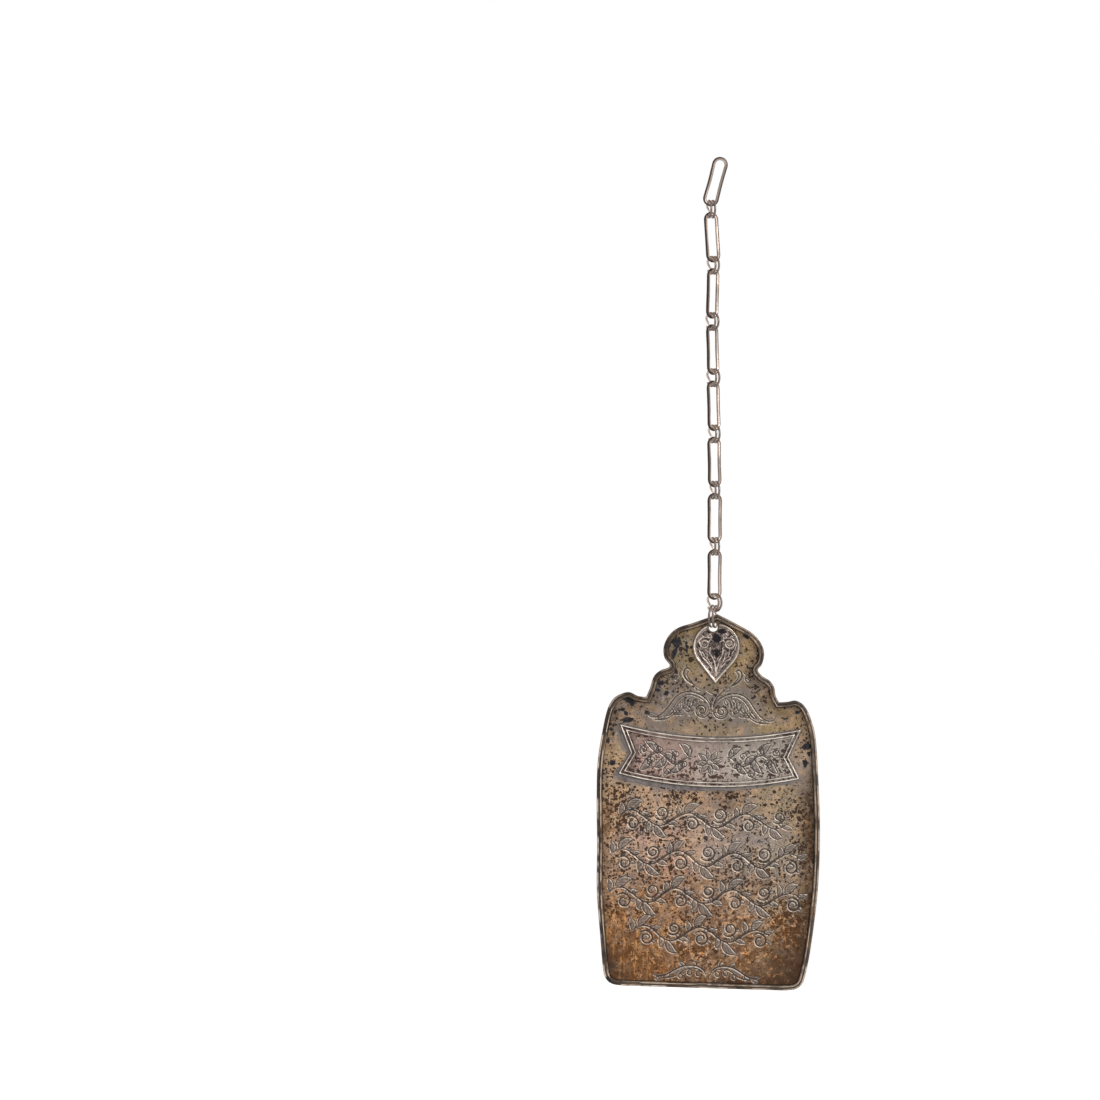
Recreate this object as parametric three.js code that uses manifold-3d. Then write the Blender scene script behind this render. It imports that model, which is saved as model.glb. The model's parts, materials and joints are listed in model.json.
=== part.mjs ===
// A small shield-shaped breastplate of parcel-gilt silver, hung on a chain of long links.
// The sheet has a raised rim, an inverted drop in its crest and a swallow-tailed banner.
// Millimetres, +Z up. The face looks along -Y and the chain hangs down from the origin,
// which is the inside of the top link's upper end, where a hook bears.
import * as THREE from 'three';
import { mergeVertices } from 'three/addons/utils/BufferGeometryUtils.js';
import Module from 'manifold-3d';

const wasm = await Module();
wasm.setup();

// The sheet
const plateHeight = 99.9;
const plateHalfWidth = 29.8;
const plateThickness = 0.7;
const holeDiameter = 2.4;
const holeDepth = 3.5;
const holeAcross = -0.3;
const plateLean = 1.75;

// The rim round the sheet
const rimWidth = 1.6;
const rimFootHeight = 0.35;
const rimHeight = 0.95;
const rimCrestStart = 0.8;
const rimCrestWidth = 0.5;
const rimWireWidth = 0.36;
const rimWireHeight = 0.28;

// The drop mount in the crest
const dropRadius = 6.2;
const dropPointLength = 9.75;
const dropDepth = 8.7;
const dropAcross = 0.7;
const dropThickness = 0.35;
const dropBorderWidth = 0.6;
const dropBorderHeight = 0.5;
const foliageMargin = 0.35;
const foliageHeight = 0.3;
const foliageLobeDepth = 0.9;
const ringRoom = 0.4;

// The banner
const bannerMargin = 4;
const bannerAcross = -0.25;
const bannerHeight = 13.2;
const bannerDepth = 30.1;
const bannerSag = 2.85;
const bannerNotch = 3.15;
const bannerNotchDrop = 7.5;
const bannerThickness = 0.45;
const bannerWireWidth = 0.5;
const bannerWireHeight = 0.4;
const bannerWireGap = 0.4;
const bannerInnerWidth = 0.42;
const bannerInnerHeight = 0.3;

// The chain
const linkLength = 13.6;
const linkWidth = 4.3;
const linkWire = 0.95;
const ringBore = 3.9;
const plateRingBore = 5.1;
const ringWire = 0.62;
const turnGap = 0.42;
const clearance = 0.1;

// How each piece of chain hangs, from the top down: the turn about the vertical and the lean
// to the right, in degrees
const linkTurns = [4, 28, 42, 42, 38, 32, 26, 27];
const linkLeans = [15, -3.5, 1.5, -1.5, -1.5, -1, 0, 0.5];
const ringTurns = [104, 118, 122, 122, 116, 108, 106, 131];
const plateRingTurn = 71;
const plateRingLean = 4;

// Faces on the curves
const linkSides = 8;
const linkArcSteps = 8;
const ringSides = 6;
const ringStepsPerTurn = 24;
const ringCrossingSteps = 4;
const outlineSteps = 3;
const dropArcSteps = 28;
const dropSideSteps = 4;
const bannerSteps = 14;
const holeSteps = 24;
const foliageLobes = 9;

// The plate's outline from the crest's tip down to the base, as shares of the half width and the
// height. Each side is two smooth runs that meet in the corner between crest and shoulder.
const rightCrestShares = [
  [0.022, 0], [0.1, 0.0105], [0.2, 0.025], [0.327, 0.045], [0.402, 0.066], [0.446, 0.09],
  [0.451, 0.112], [0.433, 0.132], [0.401, 0.146], [0.44, 0.161], [0.511, 0.174],
  [0.552, 0.191], [0.568, 0.214], [0.601, 0.2306],
];
const rightSideShares = [
  [0.601, 0.2306], [0.673, 0.2287], [0.744, 0.2244], [0.807, 0.2324], [0.852, 0.2485],
  [0.892, 0.275], [0.933, 0.3166], [0.964, 0.401], [0.998, 0.548], [1.004, 0.668],
  [0.991, 0.761], [0.951, 0.882], [0.91, 0.956], [0.879, 0.9825], [0.816, 0.9965], [0.7, 1],
];
const leftCrestShares = [
  [-0.022, 0], [0.072, 0.0115], [0.198, 0.026], [0.323, 0.0395], [0.402, 0.06], [0.4475, 0.09],
  [0.4395, 0.12], [0.388, 0.143], [0.472, 0.155], [0.529, 0.172], [0.5605, 0.203],
  [0.592, 0.227],
];
const leftSideShares = [
  [0.592, 0.227], [0.664, 0.225], [0.7516, 0.2153], [0.85, 0.2258], [0.906, 0.2434],
  [0.942, 0.271], [0.973, 0.3206], [1.007, 0.401], [1.008, 0.494], [0.99, 0.628],
  [0.98, 0.748], [0.938, 0.868], [0.905, 0.953], [0.874, 0.9825], [0.812, 0.9965], [0.7, 1],
];

const degrees = Math.PI / 180;

// Points of the plate's outline

function smoothRun(shares, side) {
  const points = shares.map(([across, down]) => new THREE.Vector2(
    side * across * plateHalfWidth,
    -down * plateHeight,
  ));
  return new THREE.SplineCurve(points).getPoints(outlineSteps * (points.length - 1));
}

function plateOutline() {
  const right = [
    ...smoothRun(rightCrestShares, 1).slice(0, -1),
    ...smoothRun(rightSideShares, 1),
  ];
  const left = [
    ...smoothRun(leftCrestShares, -1).slice(1, -1),
    ...smoothRun(leftSideShares, -1),
  ];
  return [...right, ...left.reverse()];
}

// The outline of the drop: an arc that ends in two tangents to the point below
function dropOutline() {
  const tangent = Math.acos(dropRadius / dropPointLength);
  const centre = new THREE.Vector2(dropAcross, -dropDepth);
  const points = [];
  for (let i = 0; i <= dropArcSteps; i += 1) {
    const angle = -Math.PI / 2 + tangent + (2 * (Math.PI - tangent) * i) / dropArcSteps;
    points.push(new THREE.Vector2(
      centre.x + dropRadius * Math.cos(angle),
      centre.y + dropRadius * Math.sin(angle),
    ));
  }
  const tip = new THREE.Vector2(centre.x, centre.y - dropPointLength);
  const leftEnd = points[points.length - 1];
  const rightEnd = points[0];
  for (let i = 1; i <= dropSideSteps; i += 1) {
    points.push(leftEnd.clone().lerp(tip, i / dropSideSteps));
  }
  for (let i = 1; i < dropSideSteps; i += 1) {
    points.push(tip.clone().lerp(rightEnd, i / dropSideSteps));
  }
  return points.reverse();
}

// The banner: two sagging edges between notched ends that stop short of the rim
function bannerOutline() {
  const halfLength = plateHalfWidth - rimWidth - bannerMargin;
  const edge = (top, from, to) => {
    const points = [];
    for (let i = 0; i <= bannerSteps; i += 1) {
      const across = from + ((to - from) * i) / bannerSteps;
      const sag = bannerSag * (1 - across * across);
      points.push(new THREE.Vector2(bannerAcross + across * halfLength, top - sag));
    }
    return points;
  };
  const notch = (side) => new THREE.Vector2(
    bannerAcross + side * (halfLength - bannerNotch),
    -bannerDepth - bannerNotchDrop,
  );
  return [
    ...edge(-bannerDepth, -1, 1),
    notch(1),
    ...edge(-bannerDepth - bannerHeight, 1, -1),
    notch(-1),
  ];
}

// Moves a clockwise outline inwards by a distance, with mitred corners
function inset(outline, distance) {
  const count = outline.length;
  return outline.map((point, i) => {
    const before = outline[(i + count - 1) % count];
    const after = outline[(i + 1) % count];
    const first = point.clone().sub(before).normalize();
    const second = after.clone().sub(point).normalize();
    const scale = distance / (1 + first.dot(second));
    return new THREE.Vector2(
      point.x + (first.y + second.y) * scale,
      point.y - (first.x + second.x) * scale,
    );
  });
}

// Closed bodies

function indexed(positions, triangles) {
  const geometry = new THREE.BufferGeometry();
  geometry.setAttribute('position', new THREE.Float32BufferAttribute(positions, 3));
  geometry.setIndex(triangles);
  return geometry;
}

// Joins the rows of a loft into a skin: closed on itself, or with a flat cap at each end
function skin(rows, closed) {
  const sides = rows[0].length;
  const triangles = [];
  const spans = closed ? rows.length : rows.length - 1;
  for (let i = 0; i < spans; i += 1) {
    const here = i * sides;
    const next = ((i + 1) % rows.length) * sides;
    for (let j = 0; j < sides; j += 1) {
      const k = (j + 1) % sides;
      triangles.push(here + j, next + j, next + k, here + j, next + k, here + k);
    }
  }
  if (!closed) {
    const last = (rows.length - 1) * sides;
    for (let j = 1; j < sides - 1; j += 1) {
      triangles.push(0, j, j + 1, last, last + j + 1, last + j);
    }
  }
  return indexed(rows.flat().flatMap((p) => [p.x, p.y, p.z]), triangles);
}

// A round wire along points that lie close to the XZ plane
function wireAlong(points, diameter, sides, closed) {
  const count = points.length;
  const across = new THREE.Vector3(0, 1, 0);
  const rows = points.map((point, i) => {
    const before = points[closed ? (i + count - 1) % count : Math.max(i - 1, 0)];
    const after = points[closed ? (i + 1) % count : Math.min(i + 1, count - 1)];
    const along = after.clone().sub(before).normalize();
    const out = along.clone().cross(across).normalize();
    const up = out.clone().cross(along);
    return Array.from({ length: sides }, (_, j) => {
      const angle = (2 * Math.PI * j) / sides;
      return point.clone()
        .addScaledVector(out, (Math.cos(angle) * diameter) / 2)
        .addScaledVector(up, (Math.sin(angle) * diameter) / 2);
    });
  });
  return skin(rows, closed);
}

// A moulding whose section, given as pairs of inset and height, runs round an outline
function mouldingRound(outline, section, base) {
  const rails = section.map(([distance]) => inset(outline, distance));
  const rows = outline.map((_, i) => section.map(([, height], j) => new THREE.Vector3(
    rails[j][i].x,
    -(base + height),
    rails[j][i].y,
  )));
  return skin(rows, true);
}

// The section of a low rounded wire of a given width and height, starting at an inset
function bead(start, width, height) {
  return [
    [start, 0],
    [start + width, 0],
    [start + width, height / 2],
    [start + width / 2, height],
    [start, height / 2],
  ];
}

// A flat sheet cut to an outline, between two heights above the plate's middle
function sheet(outline, base, thickness) {
  const geometry = new THREE.ExtrudeGeometry(new THREE.Shape(outline), {
    depth: thickness,
    bevelEnabled: false,
  });
  geometry.rotateX(Math.PI / 2);
  geometry.translate(0, -base, 0);
  return geometry;
}

function solidOf(geometry) {
  const bare = geometry.clone();
  bare.deleteAttribute('normal');
  bare.deleteAttribute('uv');
  const merged = mergeVertices(bare);
  return new wasm.Manifold(new wasm.Mesh({
    numProp: 3,
    vertProperties: new Float32Array(merged.attributes.position.array),
    triVerts: new Uint32Array(merged.index.array),
  }));
}

// Cuts a round hole of a given diameter where the plate ring goes through
function pierced(geometry, diameter) {
  const drill = new THREE.CylinderGeometry(diameter / 2, diameter / 2, plateHalfWidth, holeSteps);
  drill.translate(holeAcross, 0, -holeDepth);
  const mesh = solidOf(geometry).subtract(solidOf(drill)).getMesh();
  return indexed(mesh.vertProperties, Array.from(mesh.triVerts));
}

function mesh(name, geometry, finish) {
  const shown = geometry.index ? geometry.toNonIndexed() : geometry;
  shown.computeVertexNormals();
  const piece = new THREE.Mesh(shown, new THREE.MeshStandardMaterial(finish));
  piece.name = name;
  return piece;
}

const gilt = { color: 0x9a7f5e, roughness: 0.42, metalness: 0.9 };
const rimSilver = { color: 0x6f655a, roughness: 0.4, metalness: 0.9 };
const mountSilver = { color: 0x8d8581, roughness: 0.36, metalness: 0.95 };
const chainSilver = { color: 0x857a72, roughness: 0.33, metalness: 1 };

// The shield, in a frame whose origin is the crest's tip; heights count from the sheet's middle
const plateFront = plateThickness / 2;

function plateGroup() {
  const outline = plateOutline();
  const crestEnd = rimCrestStart + rimCrestWidth;
  const wireStart = rimCrestStart + (rimCrestWidth - rimWireWidth) / 2;
  const rimSection = [
    [0, 0], [rimWidth, 0], [crestEnd, rimHeight], [rimCrestStart, rimHeight], [0, rimFootHeight],
  ];
  const rimWireSection = bead(wireStart, rimWireWidth, rimWireHeight);
  const group = new THREE.Group();
  group.add(
    mesh('shield_plate', pierced(sheet(outline, -plateFront, plateThickness), holeDiameter), gilt),
    mesh('rim_moulding', mouldingRound(outline, rimSection, plateFront), rimSilver),
    mesh('rim_wire', mouldingRound(outline, rimWireSection, plateFront + rimHeight), rimSilver),
  );
  return group;
}

function dropGroup() {
  const outline = dropOutline();
  const room = holeDiameter + 2 * ringRoom;
  const face = plateFront + dropThickness;
  const leafEdge = inset(outline, dropBorderWidth + foliageMargin);
  const middle = new THREE.Vector2(dropAcross, -dropDepth);
  const leaf = leafEdge.map((point) => {
    const arm = point.clone().sub(middle);
    const swell = (1 + Math.cos(foliageLobes * Math.atan2(arm.x, -arm.y))) / 2;
    const reach = arm.length() - foliageLobeDepth * (1 - swell);
    return middle.clone().addScaledVector(arm.normalize(), reach);
  });
  const border = mouldingRound(outline, bead(0, dropBorderWidth, dropBorderHeight), face);
  const group = new THREE.Group();
  group.add(
    mesh('drop_plaque', pierced(sheet(outline, plateFront, dropThickness), room), mountSilver),
    mesh('drop_border', pierced(border, room), mountSilver),
    mesh('drop_foliage', pierced(sheet(leaf, face, foliageHeight), room), mountSilver),
  );
  return group;
}

function bannerGroup() {
  const outline = bannerOutline();
  const face = plateFront + bannerThickness;
  const outer = bead(0, bannerWireWidth, bannerWireHeight);
  const inner = bead(bannerWireWidth + bannerWireGap, bannerInnerWidth, bannerInnerHeight);
  const group = new THREE.Group();
  group.add(
    mesh('banner_plaque', sheet(outline, plateFront, bannerThickness), mountSilver),
    mesh('banner_outer_wire', mouldingRound(outline, outer, face), mountSilver),
    mesh('banner_inner_wire', mouldingRound(outline, inner, face), mountSilver),
  );
  return group;
}

// A long link whose origin is the middle of its upper end's arc
const linkArc = (linkWidth - linkWire) / 2;
const linkStraight = linkLength - linkWidth;

function linkGeometry() {
  const points = [];
  [0, 1].forEach((end) => {
    for (let i = 0; i <= linkArcSteps; i += 1) {
      const angle = Math.PI * (end + i / linkArcSteps);
      points.push(new THREE.Vector3(
        linkArc * Math.cos(angle),
        0,
        linkArc * Math.sin(angle) - end * linkStraight,
      ));
    }
  });
  return wireAlong(points, linkWire, linkSides, true);
}

// A ring of two turns side by side. The wire steps from one turn to the other where its own
// two ends stop short, on the ring's right-hand side.
const turnPitch = ringWire + turnGap;

function ringPoints(radius) {
  const step = (2 * Math.PI) / ringStepsPerTurn;
  const count = 2 * ringStepsPerTurn - ringCrossingSteps;
  const first = ringCrossingSteps / 2;
  return Array.from({ length: count + 1 }, (_, i) => {
    const angle = (first + i) * step;
    const crossing = (i - (count - ringCrossingSteps) / 2) / ringCrossingSteps;
    const share = THREE.MathUtils.smoothstep(crossing, 0, 1);
    return new THREE.Vector3(
      radius * Math.cos(angle),
      turnPitch * (share - 1 / 2),
      radius * Math.sin(angle),
    );
  });
}

// The least distance between two stretches of the same wire, less the wire itself
function leastGap(points) {
  const apart = ringStepsPerTurn / 4;
  let least = Infinity;
  points.forEach((a, i) => {
    points.slice(i + apart).forEach((b) => {
      least = Math.min(least, a.distanceTo(b) - ringWire);
    });
  });
  return least;
}

function ringMesh(name, radius) {
  const points = ringPoints(radius);
  console.log(`${name}: least gap between turns ${leastGap(points).toFixed(3)} mm`);
  return mesh(name, wireAlong(points, ringWire, ringSides, false), chainSilver);
}

// The hanging order. Each piece's group has its origin on the line it swings about, and that
// line is the group's own Y axis, square to the plane of the link or ring.
const ringRadius = (ringBore + ringWire) / 2;
const plateRingRadius = (plateRingBore + ringWire) / 2;

// How far past the middle of a round end two turns lie when they bear on it
function seatIn(boreRadius) {
  return Math.sqrt((boreRadius - ringWire / 2 - clearance) ** 2 - (turnPitch / 2) ** 2);
}

function leaning(lean) {
  return new THREE.Vector3(Math.sin(lean * degrees), 0, Math.cos(lean * degrees));
}

function placed(piece, at, turn, lean) {
  const group = new THREE.Group();
  group.name = `${piece.name}_hinge`;
  group.position.copy(at);
  group.rotation.set(0, lean * degrees, turn * degrees, 'YZX');
  group.add(piece);
  return group;
}

const breastplate = new THREE.Group();
const endBore = linkArc - linkWire / 2;
const linkSeat = seatIn(endBore);
const down = new THREE.Vector3(0, 0, -1);
const linkTop = leaning(linkLeans[0]).multiplyScalar(-endBore);
const ringCentre = new THREE.Vector3();

linkTurns.forEach((turn, i) => {
  const number = i + 1;
  const link = mesh(`chain_link_${number}`, linkGeometry(), chainSilver);
  breastplate.add(placed(link, linkTop, turn, linkLeans[i]));

  const lowerEnd = linkTop.clone().addScaledVector(leaning(linkLeans[i]), -linkStraight);
  const bar = lowerEnd.clone().addScaledVector(down, linkArc);
  ringCentre.copy(lowerEnd).addScaledVector(down, linkSeat + ringRadius);
  const ring = ringMesh(`chain_ring_${number}`, ringRadius);
  ring.position.z = ringCentre.z - bar.z;
  breastplate.add(placed(ring, bar, ringTurns[i], 0));
  linkTop.copy(ringCentre).addScaledVector(down, ringRadius + linkSeat);
});

// The plate ring bears on the lowest chain ring, turn over turn, and holds the plate by its hole
const ringsCross = (ringTurns.at(-1) - plateRingTurn) * degrees;
const turnReach = (turnPitch + ringWire / 2) / 2 / Math.tan(ringsCross / 2);
const sagOf = (radius) => radius - Math.sqrt(radius ** 2 - turnReach ** 2);
const slope = Math.asin(turnReach / ringRadius);
const ringOnRing = (ringWire + clearance) / Math.cos(slope)
  + sagOf(ringRadius) + sagOf(plateRingRadius);
const plateRingUp = leaning(plateRingLean);
const plateRingCentre = ringCentre.clone()
  .addScaledVector(down, ringRadius)
  .addScaledVector(plateRingUp, ringOnRing - plateRingRadius);
const plateRing = ringMesh('plate_ring', plateRingRadius);
breastplate.add(placed(plateRing, plateRingCentre, plateRingTurn, plateRingLean));

const shield = new THREE.Group();
const crestTip = new THREE.Group();
crestTip.position.set(-holeAcross, 0, holeDepth);
crestTip.add(plateGroup(), dropGroup(), bannerGroup());
shield.name = 'shield_hinge';
shield.position.copy(plateRingCentre).addScaledVector(plateRingUp, -plateRingRadius);
shield.rotation.y = plateLean * degrees;
shield.add(crestTip);
breastplate.add(shield);

export default breastplate;
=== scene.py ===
"""Looks of a small shield-shaped breastplate of parcel-gilt silver that hangs on its chain."""

import json
import math

import bpy
import numpy as np
from mathutils import Matrix, Vector, geometry


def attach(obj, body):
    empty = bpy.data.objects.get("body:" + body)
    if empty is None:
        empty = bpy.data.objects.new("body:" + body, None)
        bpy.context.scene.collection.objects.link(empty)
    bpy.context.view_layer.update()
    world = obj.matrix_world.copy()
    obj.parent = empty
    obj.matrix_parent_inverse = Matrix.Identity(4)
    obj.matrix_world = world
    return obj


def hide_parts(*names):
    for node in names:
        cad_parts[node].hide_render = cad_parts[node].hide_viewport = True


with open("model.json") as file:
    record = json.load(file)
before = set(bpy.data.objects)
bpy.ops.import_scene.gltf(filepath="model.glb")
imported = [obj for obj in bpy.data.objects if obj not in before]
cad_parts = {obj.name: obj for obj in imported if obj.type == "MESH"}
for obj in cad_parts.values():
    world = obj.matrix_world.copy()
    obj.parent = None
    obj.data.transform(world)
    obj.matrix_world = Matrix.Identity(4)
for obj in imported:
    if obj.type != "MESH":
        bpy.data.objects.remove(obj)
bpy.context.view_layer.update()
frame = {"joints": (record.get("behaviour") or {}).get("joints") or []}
MM = 0.001

# Sizes of the shield in millimetres, as the solids have them
PLATE_HEIGHT = 99.9
PLATE_HALF_WIDTH = 29.8
PLATE_FRONT = 0.35
HOLE_RADIUS = 1.2
HOLE_DEPTH = 3.5
HOLE_ACROSS = -0.3
PLATE_LEAN = 1.75
RIM_HEIGHT = 0.95
RIM_WIRE_HEIGHT = 0.2
DROP_RADIUS = 6.2
DROP_POINT = 9.75
DROP_DEPTH = 8.7
DROP_ACROSS = 0.7
DROP_THICKNESS = 0.35
DROP_HOLE_RADIUS = 1.6
BANNER_HALF_LENGTH = 24.2
BANNER_ACROSS = -0.25
BANNER_HEIGHT = 13.2
BANNER_DEPTH = 30.1
BANNER_SAG = 2.85
BANNER_NOTCH = 3.15
BANNER_NOTCH_DROP = 7.5
BANNER_THICKNESS = 0.45

# Sizes of the chain in millimetres and how its pieces hang, in degrees
LINK_LENGTH = 13.6
LINK_WIDTH = 4.3
LINK_WIRE = 0.95
RING_BORE = 3.9
PLATE_RING_BORE = 5.1
RING_WIRE = 0.62
TURN_GAP = 0.42
CLEARANCE = 0.1
LINK_TURNS = [4, 28, 42, 42, 38, 32, 26, 27]
LINK_LEANS = [15, -3.5, 1.5, -1.5, -1.5, -1, 0, 0.5]
RING_TURNS = [104, 118, 122, 122, 116, 108, 106, 131]
PLATE_RING_TURN = 71
PLATE_RING_LEAN = 4
RING_STEPS = 24
RING_CROSSING = 4
RING_PITCH = RING_WIRE + TURN_GAP
LINK_ARC = (LINK_WIDTH - LINK_WIRE) / 2
LINK_STRAIGHT = LINK_LENGTH - LINK_WIDTH

# How fine the drawn pieces are: grid cells in millimetres, sides of a wire, cuts of a span
PLATE_GRID = 0.17
BANNER_GRID = 0.13
DROP_GRID = 0.075
LINK_SIDES = 16
RING_SIDES = 14
LEAF_STEPS = 23
RIM_CUTS = 4
BANNER_CUTS = 4
SOLDER_CUTS = 6

# The plate's outline as shares of the half width and the height, from the crest's tip down
RIGHT_CREST = [
    (0.022, 0), (0.1, 0.0105), (0.2, 0.025), (0.327, 0.045), (0.402, 0.066), (0.446, 0.09),
    (0.451, 0.112), (0.433, 0.132), (0.401, 0.146), (0.44, 0.161), (0.511, 0.174),
    (0.552, 0.191), (0.568, 0.214), (0.601, 0.2306),
]
RIGHT_SIDE = [
    (0.601, 0.2306), (0.673, 0.2287), (0.744, 0.2244), (0.807, 0.2324), (0.852, 0.2485),
    (0.892, 0.275), (0.933, 0.3166), (0.964, 0.401), (0.998, 0.548), (1.004, 0.668),
    (0.991, 0.761), (0.951, 0.882), (0.91, 0.956), (0.879, 0.9825), (0.816, 0.9965), (0.7, 1),
]
LEFT_CREST = [
    (-0.022, 0), (0.072, 0.0115), (0.198, 0.026), (0.323, 0.0395), (0.402, 0.06),
    (0.4475, 0.09), (0.4395, 0.12), (0.388, 0.143), (0.472, 0.155), (0.529, 0.172),
    (0.5605, 0.203), (0.592, 0.227),
]
LEFT_SIDE = [
    (0.592, 0.227), (0.664, 0.225), (0.7516, 0.2153), (0.85, 0.2258), (0.906, 0.2434),
    (0.942, 0.271), (0.973, 0.3206), (1.007, 0.401), (1.008, 0.494), (0.99, 0.628),
    (0.98, 0.748), (0.938, 0.868), (0.905, 0.953), (0.874, 0.9825), (0.812, 0.9965), (0.7, 1),
]


# Meshes

def build_mesh(name, points, groups):
    """A smooth-shaded mesh from an array of points and arrays of faces with equal corners."""
    mesh = bpy.data.meshes.new(name)
    corners = np.concatenate([g.ravel() for g in groups if len(g)])
    totals = np.concatenate([np.full(len(g), g.shape[1]) for g in groups if len(g)])
    starts = np.concatenate([[0], np.cumsum(totals)[:-1]])
    mesh.vertices.add(len(points))
    mesh.vertices.foreach_set("co", np.asarray(points, np.float32).ravel())
    mesh.loops.add(len(corners))
    mesh.loops.foreach_set("vertex_index", corners.astype(np.int32))
    mesh.polygons.add(len(totals))
    mesh.polygons.foreach_set("loop_start", starts.astype(np.int32))
    mesh.polygons.foreach_set("use_smooth", np.ones(len(totals), bool))
    mesh.update(calc_edges=True)
    return mesh


def set_values(mesh, **values):
    """Writes named numbers or colours to the points of a mesh."""
    for name, value in values.items():
        kind = "FLOAT_COLOR" if value.ndim == 2 else "FLOAT"
        attribute = mesh.attributes.new(name, kind, "POINT")
        if kind == "FLOAT":
            attribute.data.foreach_set("value", value.astype(np.float32))
        else:
            colour = np.ones((len(value), 4), np.float32)
            colour[:, :3] = value
            attribute.data.foreach_set("color", colour.ravel())


def add_object(name, data):
    """Puts a mesh, lamp or camera in the scene."""
    thing = bpy.data.objects.new(name, data)
    bpy.context.scene.collection.objects.link(thing)
    return thing


def add_piece(mesh, material, replaced=(), matrix=None, body="shield"):
    """Makes a mesh a visible piece of a body; without a matrix it lies in the shield's own frame."""
    mesh.transform(shield_matrix if matrix is None else matrix)
    mesh.materials.append(material)
    piece = add_object(mesh.name, mesh)
    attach(piece, body)
    if replaced:
        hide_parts(*replaced)


def loft(rows, closed=True):
    """Points and groups of faces of a skin over rows of equal length; each row is a closed section."""
    rows = np.asarray(rows)
    count, sides = rows.shape[:2]
    spans = count if closed else count - 1
    i = np.arange(spans)[:, None]
    j = np.arange(sides)[None, :]
    here, after = i * sides, ((i + 1) % count) * sides
    k = (j + 1) % sides
    quads = np.stack([here + j, after + j, after + k, here + k], -1).reshape(-1, 4)
    return rows.reshape(-1, 3), [quads]


def capped(points, groups, sides):
    """Closes both ends of an open loft with a fan round a middle point."""
    last = len(points) - sides
    middle = np.array([points[:sides].mean(0), points[last:].mean(0)])
    a, b = len(points), len(points) + 1
    j = np.arange(sides)
    k = (j + 1) % sides
    caps = np.concatenate([
        np.stack([np.full(sides, a), j, k], -1),
        np.stack([np.full(sides, b), last + k, last + j], -1),
    ])
    return np.concatenate([points, middle]), [*groups, caps]


# Smooth noise on the plane, for hand-made unevenness and patina

def cell_noise(x, y, size, seed):
    """Smooth noise from 0 to 1 whose features are about one size across."""
    table = np.random.default_rng(seed).random((64, 64))
    u, v = x / size, y / size
    i, j = np.floor(u).astype(int), np.floor(v).astype(int)
    s, t = u - i, v - j
    s, t = s * s * (3 - 2 * s), t * t * (3 - 2 * t)
    low = table[i % 64, j % 64] * (1 - s) + table[(i + 1) % 64, j % 64] * s
    high = table[i % 64, (j + 1) % 64] * (1 - s) + table[(i + 1) % 64, (j + 1) % 64] * s
    return low * (1 - t) + high * t


def fractal(x, y, size, seed, layers=3):
    """Smooth noise from 0 to 1 with finer and weaker layers over it."""
    total, weight, amount = 0, 0, 1
    for layer in range(layers):
        turn = 0.6 * layer
        a = x * math.cos(turn) - y * math.sin(turn)
        b = x * math.sin(turn) + y * math.cos(turn)
        total = total + amount * cell_noise(a + 7.3 * layer, b, size / 2**layer, seed + layer)
        weight += amount
        amount *= 0.55
    return total / weight


def ragged(x, y, size, seed):
    """Smooth noise from -0.5 to 0.5."""
    return fractal(x, y, size, seed) - 0.5


def step_up(value, low, high):
    """From 0 to 1 on a smooth slope between low and high."""
    t = np.clip((value - low) / (high - low), 0, 1)
    return t * t * (3 - 2 * t)


# Outlines, as arrays of (across, up) with the crest's tip at zero

def curve(points, steps=10, held=False):
    """A smooth line through a few points; its ends swing freely or are held to their first span."""
    points = np.asarray(points, float)
    before = points[0] if held else 2 * points[0] - points[1]
    after = points[-1] if held else 2 * points[-1] - points[-2]
    ends = np.concatenate([[before], points, [after]])
    line = []
    for p0, p1, p2, p3 in zip(ends, ends[1:], ends[2:], ends[3:]):
        for w in np.arange(steps) / steps:
            line.append(
                p1 + w * (p2 - p0) / 2
                + w**2 * (p0 - 2.5 * p1 + 2 * p2 - p3 / 2)
                + w**3 * (-p0 + 3 * p1 - 3 * p2 + p3) / 2
            )
    return np.array([*line, points[-1]])


def smooth_run(shares, side, steps):
    """A stretch of the plate's edge from its shares of the half width and the height."""
    points = [(side * across * PLATE_HALF_WIDTH, -depth * PLATE_HEIGHT) for across, depth in shares]
    return curve(points, steps, held=True)


def plate_outline(steps=6):
    """The sheet with its lobed crest and bowed sides, clockwise from the crest's tip."""
    right = [*smooth_run(RIGHT_CREST, 1, steps)[:-1], *smooth_run(RIGHT_SIDE, 1, steps)]
    left = [*smooth_run(LEFT_CREST, -1, steps)[1:-1], *smooth_run(LEFT_SIDE, -1, steps)]
    base = np.linspace(right[-1], left[-1], 26)[1:-1]
    return np.array([*right, *base, *left[::-1]])


def drop_outline(arc_steps, side_steps):
    """A round head and two straight sides that meet in a point, clockwise."""
    tangent = math.acos(DROP_RADIUS / DROP_POINT)
    centre = np.array([DROP_ACROSS, -DROP_DEPTH])
    angles = -math.pi / 2 + tangent + 2 * (math.pi - tangent) * np.arange(arc_steps + 1) / arc_steps
    arc = centre + DROP_RADIUS * np.stack([np.cos(angles), np.sin(angles)], -1)
    tip = centre - [0, DROP_POINT]
    down = np.linspace(arc[-1], tip, side_steps + 1)[1:]
    back = np.linspace(tip, arc[0], side_steps + 1)[1:-1]
    return np.concatenate([arc, down, back])[::-1]


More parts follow.
